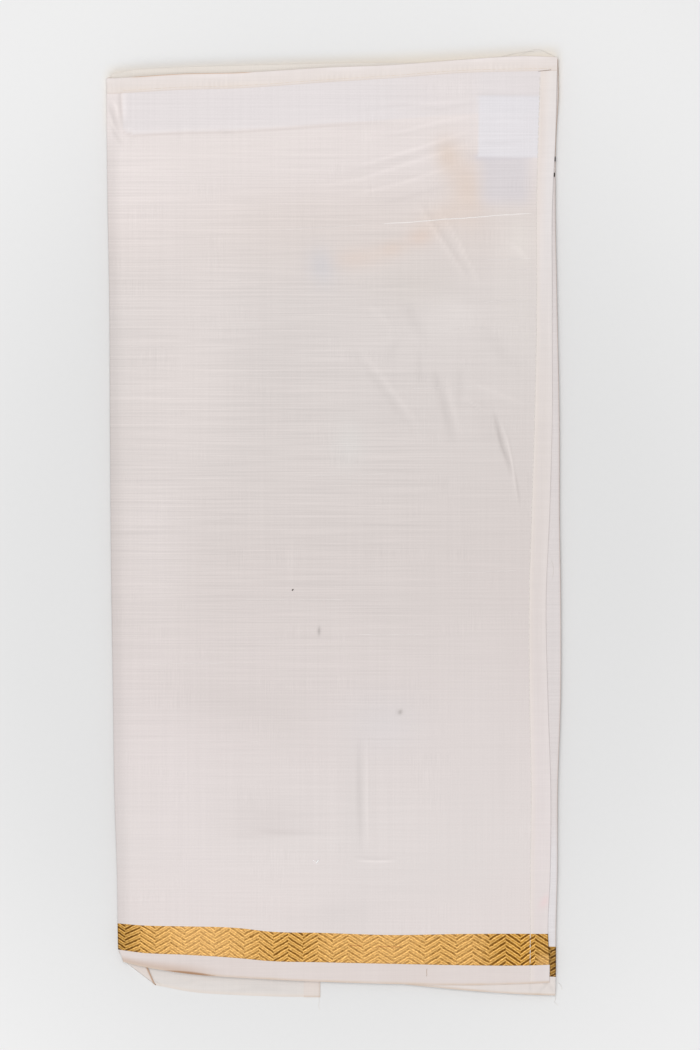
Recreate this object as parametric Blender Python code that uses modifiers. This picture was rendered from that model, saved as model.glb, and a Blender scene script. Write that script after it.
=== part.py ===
"""A child's dhoti, folded flat: ivory silk with one woven gold border.

The cloth is folded to and fro along its length into six stretches, each about 0.29 m
long and as wide as the cloth. From the top down they are the top stretch (from the cloth's
hemmed end to the left fold), the second stretch (from there to the right fold), three
hidden stretches that share one layered solid, and the inner end, which stops halfway.

All sizes are in millimetres and become metres in `vertex`. X runs along the stretches, to
the right, Y across the cloth towards its waist edge, and Z up from the surface that it lies
on. The origin is the centre of the underside.
"""

import math

import bmesh
import bpy
import numpy as np

MM = 0.001

# The cloth
WALL = 1.0  # one layer
GAP = 0.3  # air between two layers, and between two pieces at a seam
LAYER = WALL + GAP  # from one layer to the next
HEM_WALL = 1.5  # a hem, where the cloth is turned over
FOLD_RADIUS = WALL + GAP / 2  # outside of a fold
FOLD_LEG = 2.5  # how far the cloth runs back beyond a fold
FOLD_STEPS = 6

# Undersides of the stretches
INNER_END_Z = 0.0
CORE_Z = INNER_END_Z + LAYER
SECOND_Z = CORE_Z + 3 * LAYER
TOP_Z = SECOND_Z + LAYER

# What lies under the top stretch, along its waist edge
FACING_DEPTH = 26.0  # below the waist hem's seam
FACING_MARGIN = 1.5  # from the cloth's own edges
FACING_LEFT = -135.0
LABEL_LEFT, LABEL_RIGHT = 95.0, 135.0
LABEL_LOW, LABEL_HIGH = 241.3, 279.7
RAMP = 7.0  # how far the cloth takes to climb over a piece

# The border that is woven along the lower edge
BAND = 19.6
SELVAGE = 12.2


def table(columns, *rows):
    """Named columns from rows of numbers."""
    return dict(zip(columns.split(), np.array(rows, float).T))


# Edges that run up the cloth: the fold on the left, the seam of the hem at the cloth's end,
# that end itself, and the fold on the right, which the second stretch goes into.
UPRIGHTS = table(
    "y left_fold end_seam end right_fold",
    (-306, -138.9, 128.6, 140.4, 142.6),
    (-285, -139.0, 128.6, 141.1, 144.6),
    (-262, -139.4, 128.7, 139.7, 144.6),
    (-229, -139.8, 128.7, 140.9, 145.4),
    (-171, -141.6, 129.2, 141.5, 145.5),
    (-112, -142.4, 128.2, 139.8, 147.3),
    (-48, -143.4, 127.9, 138.6, 147.4),
    (9, -144.0, 129.5, 140.9, 147.1),
    (66, -144.4, 131.3, 142.5, 146.7),
    (148, -144.9, 132.8, 142.5, 145.5),
    (213, -146.2, 132.8, 142.8, 144.9),
    (255, -146.9, 133.8, 144.8, 144.9),
    (306, -147.4, 135.4, 146.0, 145.1),
)

# Edges that run across the top stretch
TOP_LINES = table(
    "x bottom band_low band_high hem_seam top",
    (-141, -281.0, -273.6, -257.2, 281.8, 292.0),
    (-123, -285.8, -276.8, -258.9, 282.9, 293.1),
    (-100, -289.6, -277.8, -259.4, 284.2, 294.6),
    (-60, -293.0, -280.5, -260.8, 285.3, 295.5),
    (-8, -295.6, -282.8, -263.6, 288.9, 298.7),
    (38, -297.0, -283.9, -265.1, 291.8, 300.5),
    (85, -297.8, -284.8, -264.4, 295.3, 304.0),
    (125, -296.9, -285.0, -264.3, 296.3, 306.3),
    (146, -296.0, -284.4, -264.4, 296.6, 305.7),
)

# Edges that run across the second stretch, which hangs out below the top one at its right
SECOND_LINES = table(
    "x bottom top",
    (-141, -280.0, 291.4),
    (-100, -287.2, 295.2),
    (-60, -290.6, 296.1),
    (-8, -293.4, 299.2),
    (45, -296.8, 299.8),
    (72, -300.8, 301.0),
    (97, -302.1, 302.4),
    (128, -304.6, 303.4),
    (145, -305.1, 303.6),
)

# The inner end hangs out below the others at the left, where its corner is folded under
INNER_LINES = table(
    "x bottom top",
    (-115.5, -298.4, 290.4),
    (-91.5, -302.9, 291.8),
    (-66, -304.7, 292.6),
    (-45, -305.6, 293.2),
    (-8.2, -306.3, 294.0),
)
INNER_LEFT = table(
    "y left",
    (-298.4, -115.5),
    (-283.2, -135.3),
    (-262.0, -138.6),
    (0.0, -143.4),
    (292.0, -146.6),
)
INNER_END = -8.2
INNER_SEAM = -18.9

# Sections of the hidden stretches from the top down: how far each height lies in from the
# fold on the left, from that on the right, and from the second stretch's ends. A pair of
# stretches bulges where it folds, and a groove parts it from the next.
CORE_SECTIONS = table(
    "height left right ends",
    (4.9, 1.6, 5.0, 2.0),
    (4.5, 0.7, 5.0, 1.8),
    (3.9, 0.4, 5.0, 2.0),
    (3.75, 0.4, 6.5, 4.6),
    (3.6, 0.4, 1.6, 3.4),
    (3.1, 0.6, 0.7, 3.2),
    (2.6, 1.6, 0.4, 3.4),
    (2.45, 6.5, 0.4, 5.8),
    (2.3, 5.0, 0.4, 2.8),
    (1.7, 5.0, 0.7, 2.6),
    (1.3, 5.0, 1.6, 2.8),
)
CORE_STEP = (-7.2, -5.0)  # where the underside comes down beside the inner end
INNER_FOLD_TOP = 2.35  # the inner end's fold reaches this high beside the hidden stretches

# Where the panels have their rows and columns
TOP_COLUMNS = (-136, -128, -90, -45, 0, 45, 72, 86, 93, 101, 116, 130)
SECOND_COLUMNS = (-130, -90, -45, 0, 45, 72, 97, 128)
INNER_COLUMNS = (-110, -91, -66, -45)
ROWS_BELOW_TOP = (530, 455, 380, 305, 230, 165, 110, 80, 64, 56, 46, 36, 28, 20, 14, 8)
CORE_COLUMNS = (-128, -90, -45, *CORE_STEP, 45, 72, 97, 128)
CORE_ROWS = (-265, -200, -112, -48, 66, 148, 213, 265)
CORE_CORNER = 4.0  # how far a corner of the hidden stretches is cut along its side
LEAST_SPAN = 2.0  # between two rows or columns
SETTLING_TURNS = 6  # x and y on a slanted edge depend on each other

COLOURS = {
    "silk": ((0.72, 0.66, 0.62), 0.55, 0.0),
    "hem silk": ((0.80, 0.73, 0.68), 0.55, 0.0),
    "gold thread": ((0.62, 0.40, 0.11), 0.35, 0.8),
    "facing cloth": ((0.74, 0.75, 0.77), 0.70, 0.0),
    "label satin": ((0.80, 0.82, 0.87), 0.45, 0.0),
}


class Line:
    """A smooth line through a table's points: called with a place, it gives the value."""

    def __init__(self, rows, along, value):
        self.at = rows[along]
        self.value = rows[value]
        self.slope = np.gradient(self.value, self.at)

    def __call__(self, place):
        place = min(max(place, self.at[0]), self.at[-1])
        k = min(int(np.searchsorted(self.at, place, "right")) - 1, len(self.at) - 2)
        span = self.at[k + 1] - self.at[k]
        t = (place - self.at[k]) / span
        ends = self.value[k] * (1 + 2 * t) * (1 - t) ** 2 + self.value[k + 1] * t * t * (3 - 2 * t)
        bend = self.slope[k] * t * (1 - t) ** 2 - self.slope[k + 1] * t * t * (1 - t)
        return float(ends + span * bend)


def polyline(rows, along, value):
    """A line of straight runs through a table's points."""
    return lambda place: float(np.interp(place, rows[along], rows[value]))


def moved(line, by):
    return lambda place: line(place) + by


def constant(value):
    return lambda place: value


def ramp(value, start, end):
    """0 at start, 1 at end, smooth between."""
    t = min(max((value - start) / (end - start), 0.0), 1.0)
    return t * t * (3 - 2 * t)


LEFT_FOLD = Line(UPRIGHTS, "y", "left_fold")
END_SEAM = Line(UPRIGHTS, "y", "end_seam")
END = Line(UPRIGHTS, "y", "end")
RIGHT_FOLD = Line(UPRIGHTS, "y", "right_fold")
HEM_SEAM = Line(TOP_LINES, "x", "hem_seam")
WAIST = Line(TOP_LINES, "x", "top")
BAND_HIGH = Line(TOP_LINES, "x", "band_high")
BAND_LOW = Line(TOP_LINES, "x", "band_low")
TOP_EDGE = Line(TOP_LINES, "x", "bottom")
SECOND_EDGE = Line(SECOND_LINES, "x", "bottom")
SECOND_WAIST = Line(SECOND_LINES, "x", "top")
INNER_EDGE = Line(INNER_LINES, "x", "bottom")
INNER_WAIST = Line(INNER_LINES, "x", "top")
INNER_FOLD = polyline(INNER_LEFT, "y", "left")


def flat_lift(x, y):
    return 0.0


def top_lift(x, y):
    """How far the top stretch climbs over the facing and the label under it."""
    facing_edge = HEM_SEAM(x) - FACING_DEPTH
    on_facing = ramp(x, FACING_LEFT - 1.5 - RAMP, FACING_LEFT - 1.5)
    on_facing *= ramp(y, facing_edge - 2 - RAMP, facing_edge - 2)
    on_label = ramp(x, LABEL_LEFT - 2 - RAMP, LABEL_LEFT - 2)
    on_label *= ramp(y, LABEL_LOW - 2 - RAMP, LABEL_LOW - 2)
    on_label *= 1 - ramp(y, LABEL_HIGH + 2, LABEL_HIGH + 2 + RAMP)
    return LAYER * max(on_facing, on_label) + LAYER * on_label


def new_material(name):
    colour, roughness, metallic = COLOURS[name]
    material = bpy.data.materials.new(name)
    material.use_nodes = True
    shader = material.node_tree.nodes["Principled BSDF"]
    shader.inputs["Base Color"].default_value = (*colour, 1.0)
    shader.inputs["Roughness"].default_value = roughness
    shader.inputs["Metallic"].default_value = metallic
    return material


def vertex(x, y, z):
    return (x * MM, y * MM, z * MM)


def new_object(name, mesh, material_name):
    """Each piece has a material of its own."""
    made = bpy.data.objects.new(name, mesh)
    mesh.materials.append(new_material(material_name))
    COLLECTION.objects.link(made)
    return made


def section_columns(fold, columns):
    """The columns of a panel from left to right, as (place, dx, dz).

    A place of None lies dx from the folded side. A fold goes half a turn about a centre that
    is half a layer below the panel (above it where it turns up) and runs back a short way.
    """
    flat = [(x, 0.0, 0.0) for x in columns]
    if fold is None:
        return flat
    side, turn = fold
    inward = 1 if side == "left" else -1
    radius = LAYER / 2
    arc = []
    for k in range(FOLD_STEPS + 1):
        angle = math.pi * k / FOLD_STEPS
        dx = FOLD_RADIUS - radius * math.sin(angle)
        arc.append((None, inward * dx, turn * radius * (1 - math.cos(angle))))
    leg = (None, inward * (FOLD_RADIUS + FOLD_LEG), turn * LAYER)
    around = arc + [leg]
    return around[::-1] + flat if side == "left" else flat + around


def sheet(name, material, sides, ends, z, wall=WALL, fold=None, columns=(), rows=(), lift=flat_lift):
    """A panel of cloth between two side lines (x at y) and two end lines (y at x).

    Columns are places along X and rows are shares of the panel's own height. The flat part
    starts a fold's radius in from a folded side.
    """
    left, right = sides
    low, high = ends
    folded_left = fold is not None and fold[0] == "left"
    folded_right = fold is not None and fold[0] == "right"
    first = None if folded_left else "left"
    last = None if folded_right else "right"
    flat = [first] * (first is not None) + list(columns) + [last] * (last is not None)
    stations = section_columns(fold, flat)
    shares = [0.0, *rows, 1.0]

    bm = bmesh.new()
    bmesh.ops.create_grid(bm, x_segments=len(stations) - 1, y_segments=len(shares) - 1, size=0.5)
    bm.verts.ensure_lookup_table()
    order = sorted(bm.verts, key=lambda v: (round(v.co.y, 6), round(v.co.x, 6)))
    for index, corner in enumerate(order):
        share = shares[index // len(stations)]
        place, dx, dz = stations[index % len(stations)]
        x = 0.0
        for _ in range(SETTLING_TURNS):
            y = low(x) + (high(x) - low(x)) * share
            if place == "left":
                x = left(y)
            elif place == "right":
                x = right(y)
            elif place is None:
                x = (left(y) if folded_left else right(y)) + dx
            else:
                x = place
        corner.co = vertex(x, y, z + wall / 2 + dz + lift(x, y))
    mesh = bpy.data.meshes.new(name)
    bm.to_mesh(mesh)
    bm.free()
    made = new_object(name, mesh, material)
    shell = made.modifiers.new("wall", "SOLIDIFY")
    shell.thickness = wall * MM
    shell.offset = 0.0
    shell.use_even_offset = True
    return made


def between(left, right, places):
    """Those places that lie well between two lines, at the middle of the cloth."""
    return [x for x in places if left(0) + LEAST_SPAN < x < right(0) - LEAST_SPAN]


def row_shares(low, high):
    """Rows at set distances below a panel's upper end, as shares of its height."""
    height = high(0) - low(0)
    return [1 - below / height for below in ROWS_BELOW_TOP if below < height - LEAST_SPAN]


def build_top_stretch():
    """From the hemmed end to the left fold, with its border, its edge and its two hems."""
    half = GAP / 2
    panel = (LEFT_FOLD, moved(END_SEAM, -half))
    hem = (moved(END_SEAM, half), END)
    columns = between(*panel, TOP_COLUMNS)
    fold = ("left", -1)
    bands = (
        ("field", "silk", BAND_HIGH, HEM_SEAM),
        ("border", "gold thread", BAND_LOW, BAND_HIGH),
        ("selvage", "hem silk", TOP_EDGE, BAND_LOW),
    )
    for name, material, low, high in bands:
        rows = row_shares(low, high) if name == "field" else [0.5]
        ends = (low if name == "selvage" else moved(low, half), moved(high, -half))
        sheet(f"top_{name}", material, panel, ends, TOP_Z, WALL, fold, columns, rows, top_lift)
        hem_name = "end_hem" if name == "field" else f"end_hem_{name}"
        hem_material = "gold thread" if name == "border" else "hem silk"
        sheet(hem_name, hem_material, hem, ends, TOP_Z, HEM_WALL, None, [], rows, top_lift)
    sides = (LEFT_FOLD, END)
    waist = (moved(HEM_SEAM, half), WAIST)
    columns = between(*sides, TOP_COLUMNS)
    sheet("waist_hem", "hem silk", sides, waist, TOP_Z, HEM_WALL, fold, columns, [0.5], top_lift)


def build_facing_and_label():
    """The band inside the waist edge, and the sewn label that lies on it."""
    sides = (constant(FACING_LEFT), moved(END, -FACING_MARGIN))
    ends = (moved(HEM_SEAM, -FACING_DEPTH), moved(WAIST, -FACING_MARGIN))
    columns = between(*sides, TOP_COLUMNS)
    sheet("waist_facing", "facing cloth", sides, ends, TOP_Z, WALL, None, columns, [0.5])
    sides = (constant(LABEL_LEFT), constant(LABEL_RIGHT))
    ends = (constant(LABEL_LOW), constant(LABEL_HIGH))
    sheet("label", "label satin", sides, ends, TOP_Z + LAYER, WALL, None, [], [])


def build_second_stretch():
    """From the left fold, under the top stretch, to the fold on the right."""
    half = GAP / 2
    sides = (moved(LEFT_FOLD, FOLD_RADIUS + FOLD_LEG + GAP), RIGHT_FOLD)
    columns = between(*sides, SECOND_COLUMNS)
    fold = ("right", -1)
    band_low = moved(SECOND_EDGE, SELVAGE)
    band_high = moved(SECOND_EDGE, SELVAGE + BAND)
    rows = row_shares(band_high, SECOND_WAIST)
    bands = (
        ("field", "silk", moved(band_high, half), SECOND_WAIST, rows),
        ("border", "gold thread", moved(band_low, half), moved(band_high, -half), [0.5]),
        ("selvage", "hem silk", SECOND_EDGE, moved(band_low, -half), [0.5]),
    )
    for name, material, low, high, rows in bands:
        sheet(f"second_{name}", material, sides, (low, high), SECOND_Z, WALL, fold, columns, rows)


def build_inner_end():
    """The cloth's other end, lowest in the stack: its fold turns up to the one above."""
    half = GAP / 2
    sides = (INNER_FOLD, constant(INNER_SEAM - half))
    columns = INNER_COLUMNS
    fold = ("left", 1)
    band_low = moved(INNER_EDGE, SELVAGE)
    band_high = moved(INNER_EDGE, SELVAGE + BAND)
    rows = row_shares(band_high, INNER_WAIST)
    bands = (
        ("field", "silk", moved(band_high, half), INNER_WAIST, rows),
        ("border", "gold thread", moved(band_low, half), moved(band_high, -half), [0.5]),
        ("selvage", "hem silk", INNER_EDGE, moved(band_low, -half), [0.5]),
    )
    for name, material, low, high, rows in bands:
        sheet(f"inner_{name}", material, sides, (low, high), INNER_END_Z, WALL, fold, columns, rows)
    hem = (constant(INNER_SEAM + half), constant(INNER_END))
    sheet("inner_hem", "hem silk", hem, (INNER_EDGE, INNER_WAIST), INNER_END_Z, WALL, None, [], [0.5])


def core_side(line, in_from_ends):
    """Points up one side of the hidden stretches, short of its corners."""
    lowest = SECOND_EDGE(line(0)) + in_from_ends
    highest = SECOND_WAIST(line(0)) - in_from_ends
    return [(line(y), y) for y in (lowest, *CORE_ROWS, highest)]


def core_ring(level):
    """The outline of the hidden stretches at one level, as (x, y) all round.

    The two long ends have a point at the same columns, so that the caps are strips.
    """
    inset = {name: values[level] for name, values in CORE_SECTIONS.items()}
    beside_inner_fold = inset["height"] < INNER_FOLD_TOP
    left = INNER_FOLD if beside_inner_fold else LEFT_FOLD
    bottom = [(x, SECOND_EDGE(x) + inset["ends"]) for x in CORE_COLUMNS]
    top = [(x, SECOND_WAIST(x) - inset["ends"]) for x in CORE_COLUMNS]
    in_from_ends = inset["ends"] + CORE_CORNER
    right_side = core_side(moved(RIGHT_FOLD, -inset["right"]), in_from_ends)
    left_side = core_side(moved(left, inset["left"]), in_from_ends)
    return bottom, right_side, top[::-1], left_side[::-1]


def build_core():
    """Three hidden stretches in one solid: rounded at their folds and layered at their edges."""
    bm = bmesh.new()
    rings = []
    levels = range(len(CORE_SECTIONS["height"]))
    for level in levels:
        height = CORE_SECTIONS["height"][level]
        lowest = level == levels[-1]
        ring = []
        for part in core_ring(level):
            points = []
            for x, y in part:
                beyond_step = lowest and x > sum(CORE_STEP) / 2
                points.append(bm.verts.new(vertex(x, y, 0.0 if beyond_step else height)))
            ring.append(points)
        rings.append(ring)
    loops = [[corner for part in ring for corner in part] for ring in rings]
    for upper, lower in zip(loops, loops[1:]):
        for k in range(len(upper)):
            after = (k + 1) % len(upper)
            bm.faces.new((upper[k], lower[k], lower[after], upper[after]))
    for ring in (rings[0], rings[-1]):
        bottom, right_side, top, left_side = ring
        top = top[::-1]
        for k in range(len(bottom) - 1):
            bm.faces.new((bottom[k], bottom[k + 1], top[k + 1], top[k]))
        bm.faces.new((*right_side, top[-1], bottom[-1]))
        bm.faces.new((*left_side, bottom[0], top[0]))
    bmesh.ops.recalc_face_normals(bm, faces=bm.faces)
    mesh = bpy.data.meshes.new("hidden_stretches")
    bm.to_mesh(mesh)
    bm.free()
    new_object("hidden_stretches", mesh, "silk")


for leftover in list(bpy.data.objects):
    bpy.data.objects.remove(leftover, do_unlink=True)
COLLECTION = bpy.data.collections.new("dhoti cloth")
bpy.context.scene.collection.children.link(COLLECTION)

build_top_stretch()
build_facing_and_label()
build_second_stretch()
build_core()
build_inner_end()
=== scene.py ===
"""The looks of a child's silk dhoti, folded flat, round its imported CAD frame.

Lengths are in millimetres and become metres when a mesh is made. X runs along the cloth's
stretches, to the right, Y across the cloth towards its waist edge, and Z up from the surface
that it lies on. The six stretches are called top, second, third, fourth, fifth and inner,
from the top down; the third to the fifth are hidden and show only at their edges.
"""

import math

import bpy
import numpy as np
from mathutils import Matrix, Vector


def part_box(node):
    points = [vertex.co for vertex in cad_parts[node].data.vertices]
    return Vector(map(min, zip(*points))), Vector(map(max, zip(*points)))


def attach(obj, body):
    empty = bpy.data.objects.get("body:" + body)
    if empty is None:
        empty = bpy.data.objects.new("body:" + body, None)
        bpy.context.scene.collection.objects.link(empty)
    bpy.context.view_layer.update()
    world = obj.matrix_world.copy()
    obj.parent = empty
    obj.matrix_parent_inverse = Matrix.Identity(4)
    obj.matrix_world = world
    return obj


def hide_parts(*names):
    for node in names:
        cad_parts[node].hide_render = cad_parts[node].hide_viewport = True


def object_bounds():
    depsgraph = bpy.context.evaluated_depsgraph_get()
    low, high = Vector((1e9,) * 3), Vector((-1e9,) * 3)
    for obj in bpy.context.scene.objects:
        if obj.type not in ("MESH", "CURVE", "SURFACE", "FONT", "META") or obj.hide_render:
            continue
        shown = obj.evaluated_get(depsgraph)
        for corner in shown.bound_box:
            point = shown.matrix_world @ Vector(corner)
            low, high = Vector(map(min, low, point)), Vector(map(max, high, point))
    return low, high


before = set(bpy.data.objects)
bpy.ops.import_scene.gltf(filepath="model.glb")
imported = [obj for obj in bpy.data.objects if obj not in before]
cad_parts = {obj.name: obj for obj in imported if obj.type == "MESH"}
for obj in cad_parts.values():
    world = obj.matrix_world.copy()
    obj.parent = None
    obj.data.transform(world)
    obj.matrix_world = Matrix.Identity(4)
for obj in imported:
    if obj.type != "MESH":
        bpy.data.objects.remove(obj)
cad_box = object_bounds()

MM = 0.001


def extent(node):
    """A CAD node's lowest and highest corner, in millimetres."""
    low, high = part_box(node)
    return np.array(low) / MM, np.array(high) / MM


FACING_BOX = extent("waist_facing")
LABEL_BOX = extent("label")
INNER_HEM_BOX = extent("inner_hem")

# The cloth, as thick as it looks
SILK = 0.4
HEM = 0.8  # turned over twice
LINING = 0.3  # the facing and the label
INNER_THINNER = 0.8  # the inner end's share of the silk's thickness
FACING_DEPTH = 26.0  # below the waist hem's seam
WAIST_HEM = 10.6  # how deep the waist hem is on the stretches below the top one
STITCH_PITCH = 3.3
STITCH_LENGTH = 2.6
WAIST_STITCHES = 1.6  # above the waist hem's seam

# Middle heights of the stretches
CAD_WALL = 1.0
LAYER = LABEL_BOX[0][2] - FACING_BOX[0][2]
TOP = FACING_BOX[0][2] + CAD_WALL / 2
SECOND = TOP - LAYER
THIRD = SECOND - LAYER
FOURTH = THIRD - LAYER
FIFTH = FOURTH - LAYER
LOWEST = SILK / 2 + 0.05
LEG = 2.5  # how far the cloth runs back beyond a fold, as in the frame
FOLD = LAYER / 2  # radius of a fold
FOLD_STEPS = 12
FREE_START = FOLD + SILK / 2 + LEG + 0.1  # where a stretch starts that a fold's leg leads to

# The woven border
BAND = 19.6
SELVAGE = 12.2  # the plain strip below the border
STRIP_DEPTH = 12.0  # the plain strip's depth in even millimetres, for its rows and tints
CHEVRON_HALF = 10.0  # from a valley to the next peak
CHEVRON_START = 3.0  # a valley of the zigzag
CHEVRON_RISE = 6.2
RIB_PITCH = 4.0
RIB_RELIEF = 0.10


class Line:
    """A smooth line through pairs of place and value: called with places, it gives the values."""

    def __init__(self, *pairs):
        self.at, self.value = np.array(pairs, float).T
        self.slope = np.gradient(self.value, self.at)

    def __call__(self, place):
        place = np.clip(place, self.at[0], self.at[-1])
        k = np.clip(np.searchsorted(self.at, place, "right") - 1, 0, len(self.at) - 2)
        span = self.at[k + 1] - self.at[k]
        t = (place - self.at[k]) / span
        start, end = self.value[k], self.value[k + 1]
        ends = start * (1 + 2 * t) * (1 - t) ** 2 + end * t * t * (3 - 2 * t)
        bend = self.slope[k] * t * (1 - t) ** 2 - self.slope[k + 1] * t * t * (1 - t)
        return ends + span * bend


def lines_through(*rows):
    """A line for each column of these rows after the first, which says where along."""
    at, *columns = np.array(rows, float).T
    return [Line(*zip(at, column)) for column in columns]


# The outlines, close to the frame's own. These run up the cloth: y, then each one's x
LEFT_FOLD, END_SEAM, END, RIGHT_FOLD = lines_through(
    (-306, -139.4, 128.6, 140.4, 144.9),
    (-285, -139.5, 128.6, 141.1, 145.2),
    (-262, -139.9, 128.7, 139.9, 145.3),
    (-229, -140.3, 128.7, 141.2, 146.1),
    (-171, -142.1, 129.2, 141.7, 146.4),
    (-112, -142.9, 128.2, 139.9, 148.3),
    (-48, -143.9, 127.9, 138.7, 148.4),
    (9, -144.5, 129.5, 141.0, 147.6),
    (66, -144.9, 131.3, 142.6, 147.5),
    (148, -145.4, 132.8, 142.6, 146.0),
    (213, -146.5, 132.8, 142.8, 144.9),
    (255, -147.0, 133.8, 144.8, 145.4),
    (282, -147.2, 134.6, 145.4, 146.9),
    (306, -147.4, 135.4, 146.0, 146.3),
)

# These run along it: x, then each one's y
TOP_EDGE, BAND_LOW, BAND_HIGH, HEM_SEAM, WAIST = lines_through(
    (-141, -281.4, -274.4, -257.4, 281.8, 292.0),
    (-123, -285.8, -276.8, -258.9, 282.9, 293.1),
    (-100, -289.6, -277.8, -259.4, 284.2, 294.6),
    (-60, -293.0, -280.3, -260.7, 285.3, 295.5),
    (-42, -294.0, -282.0, -262.8, 286.4, 296.5),
    (-8, -295.6, -282.9, -263.7, 288.9, 298.7),
    (38, -297.0, -283.9, -265.1, 291.8, 300.5),
    (85, -297.8, -284.8, -264.4, 295.3, 304.0),
    (125, -296.9, -285.0, -264.3, 296.3, 306.3),
    (146, -296.0, -284.4, -264.4, 296.6, 305.7),
)
SECOND_EDGE, SECOND_WAIST = lines_through(
    (-141, -280.0, 294.6),
    (-131, -281.6, 297.2),
    (-118, -284.2, 298.2),
    (-100, -287.2, 299.0),
    (-60, -290.6, 300.2),
    (-8, -293.4, 301.4),
    (38, -296.6, 302.0),
    (58, -298.5, 302.0),
    (72, -299.9, 302.0),
    (97, -302.1, 303.0),
    (128, -304.1, 304.0),
    (145, -304.7, 304.4),
)
INNER_EDGE, INNER_WAIST = lines_through(
    (-115.5, -298.4, 290.4),
    (-91.5, -302.9, 291.8),
    (-66, -304.7, 292.6),
    (-45, -305.6, 293.2),
    (-8.2, -306.3, 294.0),
)

# The inner end's left fold, straight between these places; its first run is the folded corner's
INNER_LEFT = np.array(((-115.5, -298.4), (-135.3, -283.2), (-138.6, -262.0), (-143.4, 0.0), (-146.6, 292.0)))

# How far the third, fourth and fifth stretches' edges lie in from the second one's
HIDDEN_INSETS = (2.4, 3.4, 2.9)

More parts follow.
